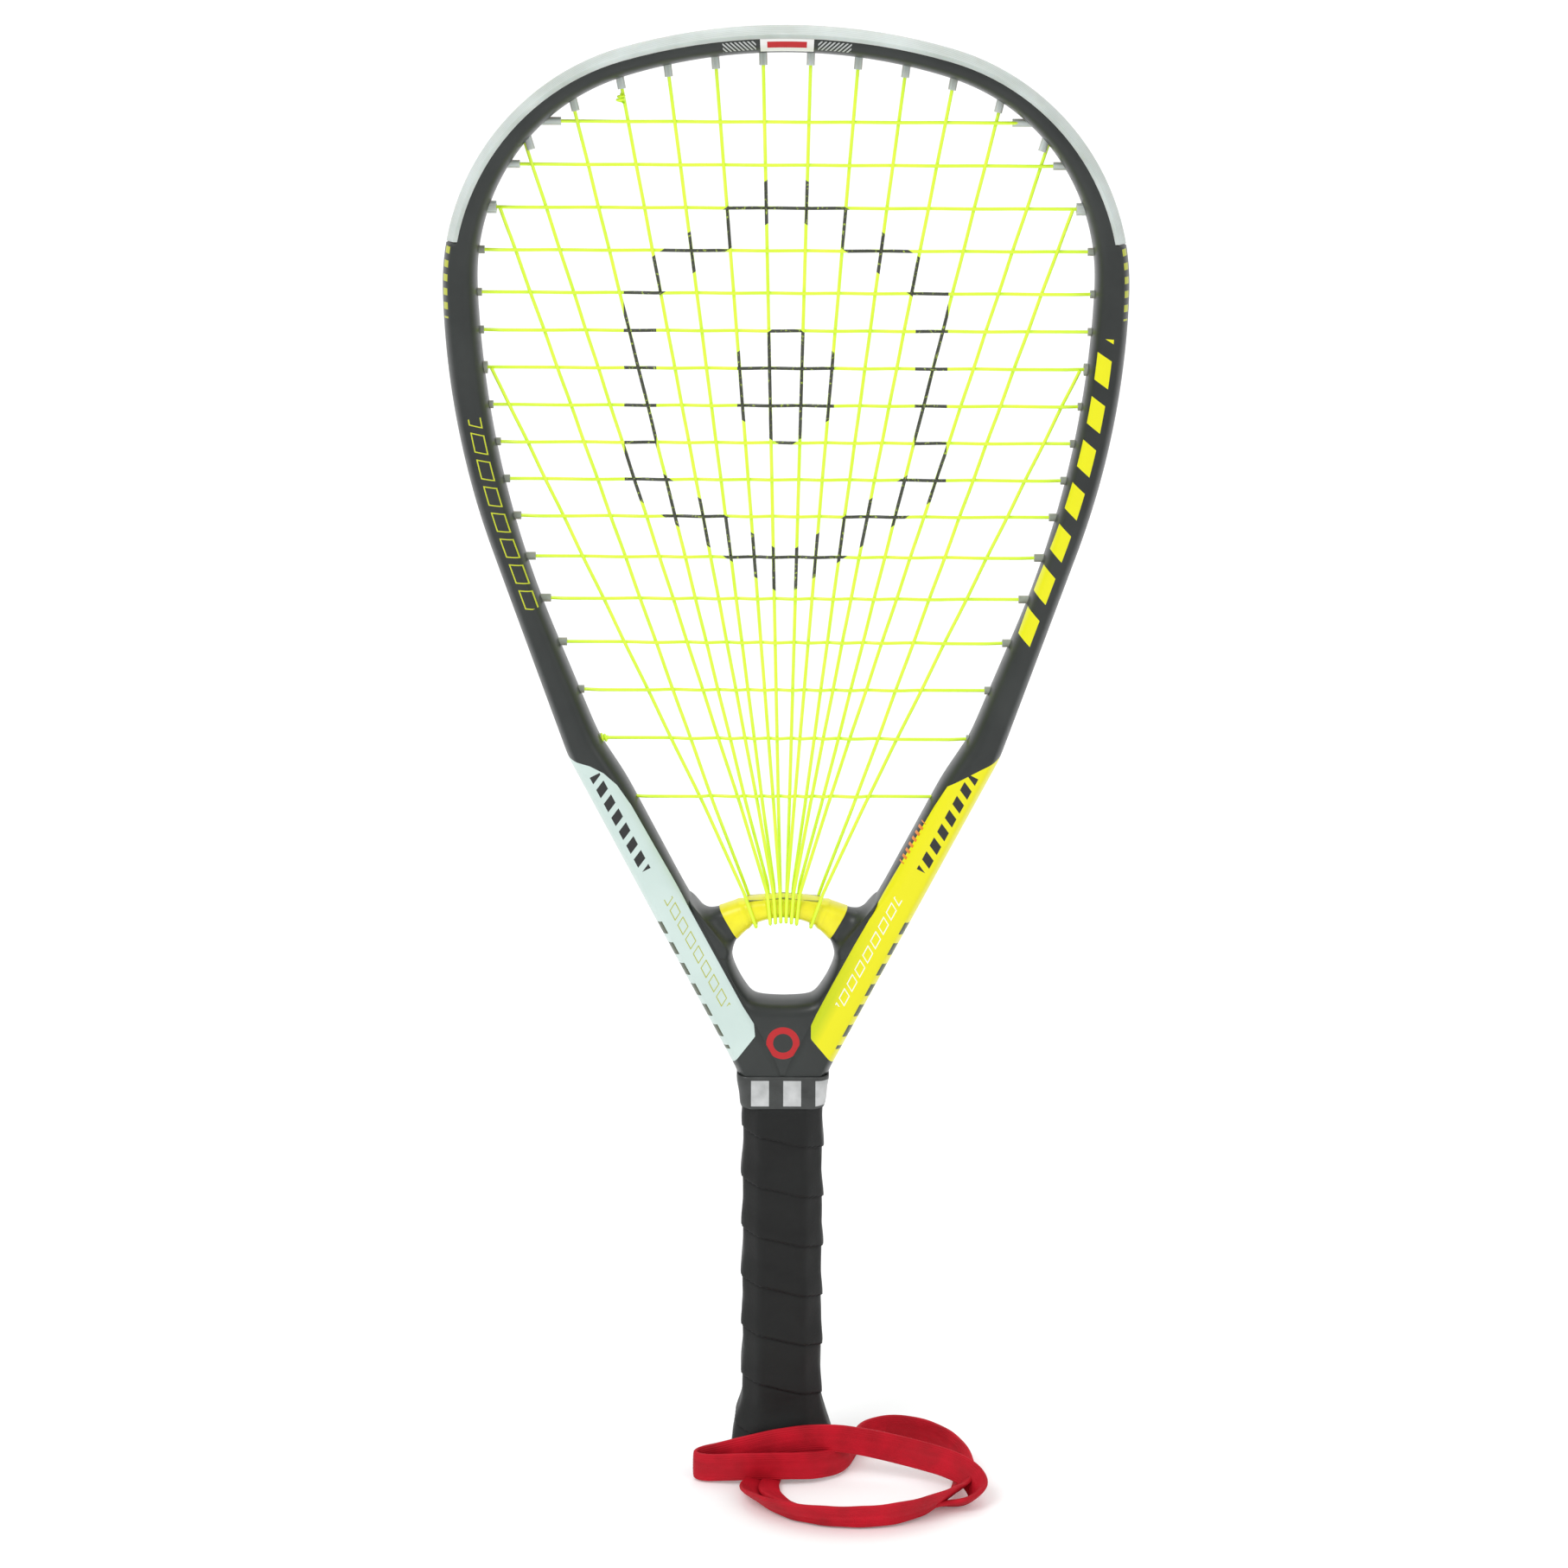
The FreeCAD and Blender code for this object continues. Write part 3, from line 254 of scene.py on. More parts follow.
def lace_surface():
    """Points of the lace: at each station of the route a flat ribbed tube, leaning as its row says.

    The section is a superellipse, half width times cos and half thickness times sin of the turn,
    both drawn out towards a flat band, with ribs that run along its two faces.
    """
    share = along(route[:, :3]) / along(route[:, :3])[-1]
    station = np.linspace(0.0, 1.0, LACE_STATIONS)
    lean = np.radians(np.interp(station, share, route[:, 3]))
    half = np.interp(station, share, route[:, 4]) * MM
    lean = np.convolve(np.pad(lean, 8, "edge"), np.ones(17) / 17.0, "valid")
    half = np.convolve(np.pad(half, 8, "edge"), np.ones(17) / 17.0, "valid")
    length = station * lace_length
    lean += np.radians(2.5) * np.sin(length * 2.0 * math.pi / 0.037) * np.sin(length * 2.0 * math.pi / 0.023)
    forward = unit(np.gradient(lace_path, axis=0))
    level = np.cross(forward, (0.0, 0.0, 1.0))
    sure = np.linalg.norm(level, axis=1) > 0.3
    for axis in range(3):
        level[:, axis] = np.interp(station, station[sure], unit(level)[sure, axis])
    level = unit(level - (level * forward).sum(1, keepdims=True) * forward)
    rise = np.cross(level, forward)
    across = np.cos(lean)[:, None] * level + np.sin(lean)[:, None] * rise
    outward = np.cross(forward, across)
    flat = np.clip((half / MM - BUNCHED_HALF) / (OPEN_HALF - BUNCHED_HALF), 0.0, 1.0)
    thick = (1.15 - 0.12 * flat) * MM * (1.0 + 0.05 * np.sin(length / 0.0083) * np.sin(length / 0.0057))
    turn = np.linspace(0.0, 2.0 * math.pi, 96, endpoint=False)
    cosine, sine = np.cos(turn), np.sin(turn)
    wide = np.sign(cosine) * np.abs(cosine) ** 0.72
    deep = np.sign(sine) * np.abs(sine) ** 0.45
    rib = 0.11 * MM * np.cos(wide * math.pi * LACE_RIBS) * np.abs(sine) ** 0.5 * np.sign(sine)
    crease = -0.16 * MM * np.exp(-(wide / 0.10) ** 2) * np.sign(sine)
    sideways = half[:, None] * wide[None, :]
    through = thick[:, None] * deep[None, :] + (rib + crease)[None, :] * flat[:, None]
    points = (lace_path[:, None, :] + sideways[..., None] * across[:, None, :]
              + through[..., None] * outward[:, None, :])
    points[..., 2] = np.maximum(points[..., 2], 0.02 * MM)
    u = np.broadcast_to(np.arange(len(turn)) / len(turn), sideways.shape)
    v = np.broadcast_to(length[:, None], sideways.shape)
    return points.reshape(-1, 3), u.ravel(), v.ravel(), len(turn)


lace_finish = Finish("lace_red", (0.50, 0.004, 0.016), 0.7, Specular_IOR_Level=0.2)
lace_uv = lace_finish.axes(lace_finish.node("UVMap", {"uv_map": "lay"}).outputs[0])
lace_cloud = lace_finish.noise(lace_finish.place(), 90.0, 4.0)
lace_weft = lace_finish.math("SINE", lace_finish.math("MULTIPLY", lace_uv[1], 2.0 * math.pi / 0.0007))
lace_warp = lace_finish.math("SINE", lace_finish.math("MULTIPLY", lace_uv[0], 2.0 * math.pi * 48.0))
lace_weave = lace_finish.math("MULTIPLY", lace_weft, lace_warp)
lace_shade = lace_finish.blend(lace_finish.spread(lace_cloud, 0.35, 0.7, 0.0, 1.0),
                               (0.34, 0.002, 0.010), (0.56, 0.005, 0.020))
lace_finish.set("Base Color", lace_finish.blend(
    lace_finish.spread(lace_weave, -1.0, 1.0, 0.0, 0.35), lace_shade, (0.64, 0.012, 0.030)))
lace_finish.set("Roughness", lace_finish.spread(lace_cloud, 0.3, 0.7, 0.55, 0.72))
lace_finish.bump(lace_weave, 0.35, 0.00012)
lace_finish.bump(lace_cloud, 0.25, 0.0005)

lace_points, lace_u, lace_v, lace_columns = lace_surface()
lace = new_piece("wrist_lace", lace_points, tube_faces(LACE_STATIONS, lace_columns), lace_finish.material)
set_uv(lace, lace_u, lace_v)
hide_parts("wrist_cord")
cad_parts["cord_knot"].data.materials[0] = lace_finish.material

# ---------------------------------------------------------------- frame
# The racket's body: one hollow carbon hairpin, moulded with wide outer bevels and a channel for the
# grommet strips, and painted satin charcoal with a pale silver panel on one arm and a yellow one on
# the other. The two legs meet below the throat and run down inside the handle.
CROWN = 559.0
HALF_HEAD = 126.5
HALF_DEPTH = 10.5
GUARD_FOOT = 481.0
CROWN_WALL, SIDE_WALL = 9.7, 12.5
# The crown arc's radius and end heading, the corner arc's end heading, the side arc's radius and end.
OUTER_ARCS = (224.0, 15.7, 90.8, 308.0, 109.3)
INNER_ARCS = (203.0, 17.1, 91.6, 373.0, 112.0)
ARM_WIDTH = 15.6
OUTER_SHOULDER = 286.5
INNER_SHOULDER = (294.5, 278.5)
NECK = np.array([17.3, 162.0])
LEG = [(15.2, 149.5), (14.6, 118.0)]
LEG_GAP = 0.15
LEG_FOOT = 100.0


def arc_run(top, half_width, first_radius, first_end, corner_end, last_radius, last_end):
    """Points of three tangent arcs from the crown down the right side, and their headings.

    A point is the centre plus the radius times (sin, cos) of the heading, which grows from 0.
    """
    ends = np.radians([first_end, corner_end, last_end])
    corner = (half_width - first_radius * math.sin(ends[0])) / (1.0 - math.sin(ends[0]))
    x, z, start = 0.0, top, 0.0
    points = []
    for radius, end in zip((first_radius, corner, last_radius), ends):
        angle = np.linspace(start, end, 160)[:-1]
        centre = (x - radius * math.sin(start), z - radius * math.cos(start))
        points.append(np.stack([centre[0] + radius * np.sin(angle), centre[1] + radius * np.cos(angle)], 1))
        x, z, start = centre[0] + radius * math.sin(end), centre[1] + radius * math.cos(end), end
    return np.concatenate(points + [[(x, z)]]), ends[-1]


def line_down(start, heading, height):
    """The point at a height on the straight line that leaves an arc's end."""
    return np.array([start[0] - (start[1] - height) * math.tan(heading - math.pi / 2.0), height])


outer_arcs, outer_heading = arc_run(CROWN, HALF_HEAD, *OUTER_ARCS)
inner_arcs, inner_heading = arc_run(CROWN - CROWN_WALL, HALF_HEAD - SIDE_WALL, *INNER_ARCS)
shoulder = line_down(outer_arcs[-1], outer_heading, OUTER_SHOULDER)
arm_down = unit(NECK - shoulder)
arm_in = np.array([arm_down[1], -arm_down[0]])


def arm_inside(height):
    """Point of the right arm's inner line at a height."""
    start = shoulder + arm_in * ARM_WIDTH
    return start + arm_down * ((height - start[1]) / arm_down[1])


crotch = arm_inside(160.0) + arm_down * (arm_inside(160.0)[0] - LEG_GAP) / -arm_down[0]
outer_line = np.concatenate([outer_arcs, [shoulder, NECK, *LEG]])
inner_line = np.concatenate([inner_arcs, [line_down(inner_arcs[-1], inner_heading, INNER_SHOULDER[0]),
                                          arm_inside(INNER_SHOULDER[1]), crotch, (LEG_GAP, LEG_FOOT)]])


def eased(values, width):
    """Running Gaussian mean over a row of values, with the ends held."""
    reach = int(3 * width)
    weight = np.exp(-0.5 * (np.arange(-reach, reach + 1) / width) ** 2)
    return np.convolve(np.pad(values, reach, "edge"), weight / weight.sum(), "valid")


def eased_line(line, width):
    """A line with its corners rounded over a width of points."""
    return np.stack([eased(column, width) for column in line.T], 1)


def even_line(points, step, width):
    """The flat line resampled at a step, with its corners rounded over a width of points.

    Its mirror image leads into it, so that it crosses the middle level.
    """
    reach = along(points)
    line = read_line(points, reach, np.arange(0.0, reach[-1], step))
    lead = 40
    return eased_line(np.concatenate([line[lead:0:-1] * (-1.0, 1.0), line]), width)[lead:]


STEP = 0.8
EASE = 3.0
right_line = even_line(outer_line, STEP, EASE)
right_line[0, 0] = 0.0
inner_even = even_line(inner_line, 1.0, EASE)


def wall_depth(points, inward):
    """Distance from each outer point to the inner line, measured straight into the wall.

    Solves point + distance * inward = a point of each inner segment, and takes the nearest.
    """
    first, last = inner_even[:-1][None], inner_even[1:][None]
    run = last - first
    gap = first - points[:, None]
    cross = inward[:, None, 0] * run[..., 1] - inward[:, None, 1] * run[..., 0]
    cross = np.where(np.abs(cross) < 1e-9, 1e-9, cross)
    distance = (gap[..., 0] * run[..., 1] - gap[..., 1] * run[..., 0]) / cross
    share = (gap[..., 0] * inward[:, None, 1] - gap[..., 1] * inward[:, None, 0]) / cross
    distance = np.where((share >= -0.01) & (share <= 1.01) & (distance > 2.0), distance, 1e3).min(1)
    order, met = np.arange(len(points)), distance < 24.0
    return np.interp(order, order[met], distance[met])


right_forward = unit(np.gradient(right_line, axis=0))
right_forward[0] = (1.0, 0.0)
right_inward = np.stack([right_forward[:, 1], -right_forward[:, 0]], 1)
right_depth = eased(wall_depth(right_line, right_inward), EASE)
right_reach = np.arange(len(right_line)) * STEP


def reach_at(height):
    """Length along the outline from the crown to the right side's point at a height."""
    return float(np.interp(-height, -right_line[:, 1], right_reach))


def smooth_step(values, low, high):
    """0 below low, 1 above high, and 3 t^2 - 2 t^3 between them."""
    share = np.clip((values - low) / (high - low), 0.0, 1.0)
    return share * share * (3.0 - 2.0 * share)


GUARD_THICKNESS = 1.4
FACE_START = 3.3
INNER_ROUND = 6.2
ROUND_POWER = 0.8
THROAT_LOW, THROAT_HIGH = 214.0, 236.0
SHAFT_SHARE = 0.78
SHAFT_TOP = 152.0
# Half of the outer wall's section as (inset, depth from the middle plane): channel, lip and bevel.
EDGE_PROFILE = np.array([(2.2, 0.0), (2.2, 2.6), (0.12, 2.6), (0.0, 2.9), (0.0, 3.6), (0.2, 4.8), (0.62, 6.3),
                         (1.2, 7.9), (1.95, 9.3), (2.6, 10.1), (2.95, 10.38), (3.3, 10.5)])


def frame_surface():
    """The hairpin from the left leg over the crown to the right leg: an inset and a depth profile
    carried along the outer outline. The inset grows from the channel over the bevel and the flat
    face to the rounded inner edge, and the same points mirrored in depth make the back half."""
    line = np.concatenate([right_line[:0:-1] * (-1.0, 1.0), right_line])
    inward = np.concatenate([right_inward[:0:-1] * (-1.0, 1.0), right_inward])
    depth = np.concatenate([right_depth[:0:-1], right_depth])
    reach = np.concatenate([-right_reach[:0:-1], right_reach])
    height = line[:, 1]
    slim = GUARD_THICKNESS * (height > GUARD_FOOT)
    round_off = np.minimum(INNER_ROUND, 0.45 * depth) * smooth_step(height, THROAT_LOW, THROAT_HIGH) + 0.03
    shaft = np.where(height < SHAFT_TOP, SHAFT_SHARE, 1.0)
    turn = np.linspace(0.0, math.pi / 2.0, 12)
    rows = []
    for inset, y in EDGE_PROFILE:
        rows.append((inset + slim, np.full(len(line), -y)))
    face_start, face_end = FACE_START + slim, depth - round_off
    for share in (0.25, 0.5, 0.75):
        rows.append((face_start + (face_end - face_start) * share, np.full(len(line), -HALF_DEPTH)))
    for angle in turn[:-1]:
        rows.append((face_end + round_off * math.sin(angle) ** ROUND_POWER,
                     np.full(len(line), -HALF_DEPTH * math.cos(angle) ** ROUND_POWER)))
    inset = np.stack([row[0] for row in rows] + [depth] + [row[0] for row in rows[:0:-1]], 1)
    y = np.stack([row[1] for row in rows] + [0.0 * depth] + [-row[1] for row in rows[:0:-1]], 1)
    inset = np.minimum(inset, depth[:, None])
    y = y * shaft[:, None]
    flat = line[:, None, :] + inward[:, None, :] * inset[..., None]
    points = np.stack([flat[..., 0], y, flat[..., 1]], -1) * MM
    u = np.broadcast_to(reach[:, None], inset.shape) * MM
    return points.reshape(-1, 3), u.ravel(), (inset * MM).ravel(), inset.shape


# The painted panels: points of the line between panel and black, left arm and right arm.
SILVER_EDGE = [(-79.0, 287.0), (-73.3, 284.4), (-68.0, 281.5), (-63.2, 277.2), (-57.7, 268.9),
               (-49.3, 253.5), (-38.6, 234.0), (-35.3, 227.9), (-15.3, 190.0), (-11.0, 183.0),
               (-10.6, 178.0), (-16.6, 169.4)]
YELLOW_EDGE = [(80.5, 287.2), (74.0, 283.6), (61.9, 277.0), (57.0, 269.0), (44.3, 245.8), (27.0, 214.6),
               (13.4, 188.6), (10.6, 182.4), (10.8, 177.4), (17.0, 169.4)]


def panel_line(edge):
    """(reach, inset) of each point of a panel's edge, in millimetres."""
    points = np.abs(edge)
    gap = points[:, None] - right_line[None]
    nearest = np.argmin((gap ** 2).sum(-1), 1)
    inset = (gap[np.arange(len(points)), nearest] * right_inward[nearest]).sum(-1)
    return right_reach[nearest], np.maximum(inset, 0.0)


CHARCOAL, CHARCOAL_LOW, CHARCOAL_HIGH = (0.022, 0.025, 0.024), (0.016, 0.019, 0.018), (0.027, 0.031, 0.029)
SATIN_COAT = {"Coat_Weight": 0.12, "Coat_Roughness": 0.25, "Specular_IOR_Level": 0.35}
paint = Finish("frame_paint", CHARCOAL, 0.38, **SATIN_COAT)
paint_uv = paint.axes(paint.node("UVMap", {"uv_map": "lay"}).outputs[0])
paint_spot = paint.place()
paint_axis = paint.axes(paint_spot)
paint_side = paint.math("GREATER_THAN", paint_uv[0], 0.0)
paint_left = paint.math("SUBTRACT", 1.0, paint_side)
paint_reach = paint.math("ABSOLUTE", paint_uv[0])
paint_front = paint.math("LESS_THAN", paint_axis[1], 0.0)
INSET_SPAN = 20.0


def panel_mask(edge, side):
    """1 inside a panel: the inset is less than the edge's curve at this reach, on one side."""
    reach, inset = panel_line(edge)
    reach[0] -= 1.5
    reach[-1] += 1.5
    inset[[0, -1]] = 0.0
    curve = paint.node("FloatCurve", i1=paint.spread(paint_reach, reach[0] * MM, reach[-1] * MM, 0.0, 1.0))
    knots = curve.mapping.curves[0]
    curve.mapping.use_clip = False
    share = (reach - reach[0]) / (reach[-1] - reach[0])
    knots.points[0].location = (0.0, 0.0)
    knots.points[1].location = (1.0, 0.0)
    for x, y in zip(share[1:-1], inset[1:-1] / INSET_SPAN):
        knots.points.new(float(x), float(y))
    for knot in knots.points:
        knot.handle_type = "VECTOR"
    curve.mapping.update()
    limit = paint.math("MULTIPLY", curve.outputs[0], INSET_SPAN * MM)
    inside = paint.math("LESS_THAN", paint_uv[1], paint.math("SUBTRACT", limit, 0.02 * MM))
    return paint.math("MULTIPLY", inside, side)


def blocks(high, low, near, far, pitch, share, slant, side, front=True):
    """1 on a row of slanted blocks between two heights and two insets, all in millimetres."""
    reach = paint.math("ADD", paint_reach, paint.math("MULTIPLY", paint_uv[1], slant))
    step = paint.math("FRACT", paint.math("DIVIDE", reach, pitch * MM))
    row = paint.math("LESS_THAN", paint.math("ABSOLUTE", paint.math("SUBTRACT", step, 0.5)), share / 2.0)
    row = paint.math("MULTIPLY", row, paint.between(paint_uv[1], near * MM, far * MM))
    row = paint.math("MULTIPLY", row, paint.between(paint_reach, reach_at(high) * MM, reach_at(low) * MM))
    row = paint.math("MULTIPLY", row, side)
    return paint.math("MULTIPLY", row, paint_front) if front else row


def outlined(high, low, near, far, pitch, share, slant, side, line):
    """The same row drawn as outlines: blocks less slightly smaller blocks."""
    whole = blocks(high, low, near, far, pitch, share, slant, side)
    core = blocks(high, low, near + line, far - line, pitch, share - 2.0 * line / pitch, slant, side)
    return paint.math("SUBTRACT", whole, core)


paint_cloud = paint.noise(paint_spot, 28.0, 4.0)
paint_grain = paint.noise(paint_spot, 1400.0, 2.0)
paint_colour = paint.blend(paint.spread(paint_cloud, 0.35, 0.65, 0.0, 1.0), CHARCOAL_LOW, CHARCOAL_HIGH)
silver_mask = panel_mask(SILVER_EDGE, paint_left)
yellow_mask = panel_mask(YELLOW_EDGE, paint_side)
silver_colour = paint.blend(paint.spread(paint_cloud, 0.3, 0.7, 0.0, 1.0),
                            (0.52, 0.64, 0.60), (0.60, 0.72, 0.68))
yellow_shade = paint.spread(paint_uv[1], 9.0 * MM, 13.0 * MM, 0.0, 1.0)
yellow_shade = paint.math("MULTIPLY", yellow_shade, paint.spread(paint_axis[2], 0.19, 0.23, 1.0, 0.0))
yellow_colour = paint.blend(yellow_shade, (0.78, 0.74, 0.0), (0.54, 0.62, 0.0))
paint_colour = paint.blend(silver_mask, paint_colour, silver_colour)
paint_colour = paint.blend(yellow_mask, paint_colour, yellow_colour)
BRIGHT_YELLOW, DARK_INK, RED_INK = (0.76, 0.74, 0.0), (0.02, 0.02, 0.02), (0.46, 0.008, 0.012)
# Rows of plain marks: upper and lower height, near and far inset, pitch, filled share and slant.
for mask, ink in (
        (blocks(446.0, 327.0, 5.2, 10.6, 17.0, 0.62, 0.55, paint_side), BRIGHT_YELLOW),
        (outlined(415.0, 342.0, 4.8, 9.6, 10.4, 0.74, -0.45, paint_left, 0.45), (0.55, 0.60, 0.02)),
        (blocks(278.0, 241.0, 4.4, 8.6, 6.1, 0.60, 0.5, paint_left), DARK_INK),
        (blocks(278.0, 241.0, 4.4, 8.6, 6.1, 0.60, 0.5, paint_side), DARK_INK),
        (outlined(229.0, 186.0, 7.2, 10.8, 6.4, 0.72, 0.6, paint_left, 0.4), (0.42, 0.46, 0.05)),
        (outlined(229.0, 186.0, 7.6, 11.0, 6.4, 0.72, 0.6, paint_side, 0.4), (0.85, 0.86, 0.80)),
        (blocks(226.0, 172.0, 0.4, 2.6, 9.2, 0.58, 0.0, paint_left), (0.05, 0.07, 0.03)),
        (blocks(226.0, 172.0, 0.4, 2.6, 9.2, 0.58, 0.0, paint_side), (0.05, 0.07, 0.03)),
        (blocks(484.0, 453.0, 0.5, 2.2, 5.2, 0.5, 0.0, 1.0, front=False), (0.45, 0.48, 0.02)),
        (blocks(256.0, 240.0, 13.6, 15.2, 2.6, 0.45, 0.0, paint_side), (0.75, 0.22, 0.02))):
    paint_colour = paint.blend(mask, paint_colour, ink)
# A plain label on the crown: a white patch with a red bar, and a hatched strip on each side of it.
label_parts = (((-1.0, 10.0), (3.2, 9.0), (0.74, 0.74, 0.72)), ((-1.0, 7.4), (5.4, 7.6), RED_INK))
for (near, far), (low, high), ink in label_parts:
    patch = paint.math("MULTIPLY", paint.between(paint_reach, near * MM, far * MM),
                       paint.between(paint_uv[1], low * MM, high * MM))
    paint_colour = paint.blend(paint.math("MULTIPLY", patch, paint_front), paint_colour, ink)
hatch = paint.math("FRACT", paint.math("DIVIDE", paint.math("ADD", paint_reach, paint_uv[1]), 1.6 * MM))
hatch = paint.math("MULTIPLY", paint.math("LESS_THAN", hatch, 0.45),
                   paint.between(paint_reach, 11.6 * MM, 24.0 * MM))
hatch = paint.math("MULTIPLY", hatch, paint.between(paint_uv[1], 5.0 * MM, 8.2 * MM))
paint_colour = paint.blend(paint.math("MULTIPLY", hatch, paint_front), paint_colour, (0.45, 0.47, 0.46))
paint.set("Base Color", paint_colour)
paint.set("Roughness", paint.spread(paint_cloud, 0.3, 0.7, 0.30, 0.42))
paint.bump(paint_grain, 0.10, 0.00010)
paint.bump(paint_cloud, 0.12, 0.0006)

frame_points, frame_u, frame_v, frame_shape = frame_surface()
hairpin = new_piece("hairpin_frame", frame_points, tube_faces(*frame_shape), paint.material)
set_uv(hairpin, frame_u, frame_v)
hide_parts("frame")

# ---------------------------------------------------------------- throat web and bridge
# The moulded infill of the fork: a rounded ring of nylon and carbon round the open throat, in two
# parts that meet at the level of the arms. The upper part is the bridge that the strings turn on.
# Matched pairs of points down the right side: on the hole's edge, and on the ring's outer edge.
RING_PAIRS = [
    ((0.0, 226.6), (0.0, 234.4)), ((5.6, 226.0), (7.0, 234.1)), ((10.7, 224.2), (14.0, 233.2)),
    ((14.8, 220.9), (19.6, 231.5)), ((17.8, 217.6), (24.4, 229.7)), ((18.6, 216.0), (29.4, 228.9)),
    ((19.2, 214.2), (34.0, 231.6)), ((19.5, 212.6), (38.6, 238.0)), ((19.6, 210.8), (31.0, 211.2)),
    ((19.0, 207.6), (28.5, 205.0)), ((16.4, 201.8), (24.5, 196.0)), ((13.0, 196.6), (19.0, 186.0)),
    ((10.6, 194.6), (15.0, 178.0)), ((6.0, 193.9), (8.0, 168.0)), ((0.0, 193.7), (0.0, 160.0)),
]
BRIDGE_SHARE = 8.0 / 14.0
SLEEVE_SHARE = 4.0 / 14.0
BRIDGE_HALF = 6.5
RING_DROP = 2.8
WEB_GROW, SLEEVE_GROW = -0.03, 0.32
WEB_OUTER_ROUND = 0.6
MARK_HEIGHT, MARK_INSIDE, MARK_OUTSIDE = 0.1755, 0.0038, 0.0064


def ring_lines(first, last, count):
    """Inner and outer line of the ring between two shares of the way down a side.

    A negative share is on the left. Both lines run evenly through the matched points, eased.
    """
    pairs = np.array(RING_PAIRS)
    whole = np.concatenate([pairs[:0:-1] * (-1.0, 1.0), pairs])
    place = np.linspace(-1.0, 1.0, len(whole))
    fine = np.linspace(-1.0, 1.0, 1121)
    lines = []
    for edge in range(2):
        lines.append(eased_line(read_line(whole[:, edge], place, fine), 13.0))
    return [read_line(line, fine, np.linspace(first, last, count)) for line in lines]


def ring_surface(first, last, count, grow, inner_round, outer_round, waves=None):
    """Rounded bar between the two lines, slim in the middle of the bridge and as deep as the frame
    beside the arms. Each edge is a quarter of a superellipse, |x / round| ^ 2.5 + |y / half| ^ 2.5 = 1;
    the inset runs from the hole's edge to the outer edge, and grow moves all the sides out.
    """
    inner, outer = [line - (0.0, RING_DROP) for line in ring_lines(first, last, count)]
    across = unit(outer - inner)
    width = np.linalg.norm(outer - inner, axis=1) + grow
    share = np.abs(np.linspace(first, last, count))
    half = BRIDGE_HALF + (HALF_DEPTH - BRIDGE_HALF) * smooth_step(share, 0.30, 0.54) + grow
    near = np.minimum(inner_round, 0.47 * width)
    far = np.minimum(outer_round, 0.47 * width)
    turn = np.linspace(0.0, math.pi / 2.0, 12)
    profile = [(near * (1.0 - math.cos(angle) ** ROUND_POWER) - grow, -half * math.sin(angle) ** ROUND_POWER)
               for angle in turn]
    profile += [(near - grow + (width - far - near + grow) * part, -half) for part in (0.25, 0.5, 0.75)]
    profile += [(width - far * (1.0 - math.sin(angle) ** ROUND_POWER), -half * math.cos(angle) ** ROUND_POWER)
                for angle in turn]
    inset = np.stack([row[0] for row in profile] + [row[0] for row in profile[-2:0:-1]], 1)
    y = np.stack([row[1] for row in profile] + [-row[1] for row in profile[-2:0:-1]], 1)
    if waves is not None:
        dent = waves((inner + outer) / 2.0)[:, None]
        y = y * (1.0 - dent / BRIDGE_HALF)
        inset = inset + dent * (inset < 0.8) - dent * (inset > width[:, None] - 0.8)
    flat = inner[:, None] + across[:, None] * inset[..., None]
    points = np.stack([flat[..., 0], y, flat[..., 1]], -1) * MM
    return points.reshape(-1, 3), inset.shape


def closed_bar(name, points, shape, material):
    """A bar from its rows of points, with both ends closed and each face's corners in the reverse
    order of a tube's. The ring's rows turn left-handed, so these faces point inwards too."""
    return new_piece(name, points, [face[::-1] for face in tube_faces(*shape)], material)


def web_paint():
    """Satin charcoal like the frame's, with a small red ring on the front below the throat."""
    made = Finish("web_paint", CHARCOAL, 0.38, **SATIN_COAT)
    spot = made.place()
    axis = made.axes(spot)
    cloud = made.noise(spot, 28.0, 4.0)
    x = made.math("POWER", axis[0], 2.0)
    z = made.math("POWER", made.math("SUBTRACT", axis[2], MARK_HEIGHT), 2.0)
    radius = made.math("SQRT", made.math("ADD", x, z))
    mark = made.math("MULTIPLY", made.between(radius, MARK_INSIDE, MARK_OUTSIDE),
                     made.math("LESS_THAN", axis[1], 0.0))
    base = made.blend(made.spread(cloud, 0.35, 0.65, 0.0, 1.0), CHARCOAL_LOW, CHARCOAL_HIGH)
    made.set("Base Color", made.blend(mark, base, RED_INK))
    made.set("Roughness", made.spread(cloud, 0.3, 0.7, 0.30, 0.42))
    made.bump(made.noise(spot, 1400.0, 2.0), 0.10, 0.00010)
    return made.material


web_material = web_paint()
right_web, half_shape = ring_surface(BRIDGE_SHARE, 1.0, 150, WEB_GROW, INNER_ROUND, WEB_OUTER_ROUND)
right_web = right_web.reshape(*half_shape, 3)
web_points = np.concatenate([right_web[:-1], right_web[::-1] * (-1.0, 1.0, 1.0)])
web = closed_bar("throat_infill", web_points.reshape(-1, 3), web_points.shape[:2], web_material)
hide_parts("throat_web")
bridge_points, bridge_shape = ring_surface(
    -BRIDGE_SHARE, BRIDGE_SHARE, 220, WEB_GROW, INNER_ROUND, INNER_ROUND)
bridge = closed_bar("throat_arch", bridge_points, bridge_shape, web_material)
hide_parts("throat_bridge")

# ---------------------------------------------------------------- bridge sleeve
# A moulded yellow sleeve clipped over the middle of the bridge. The wrapped strings have pressed
# shallow dents into it.
WRAP_TOPS = np.array([1.3, 3.8, 6.2, 15.0])
WRAP_FEET = np.array([1.0, 3.0, 5.0, 10.4])


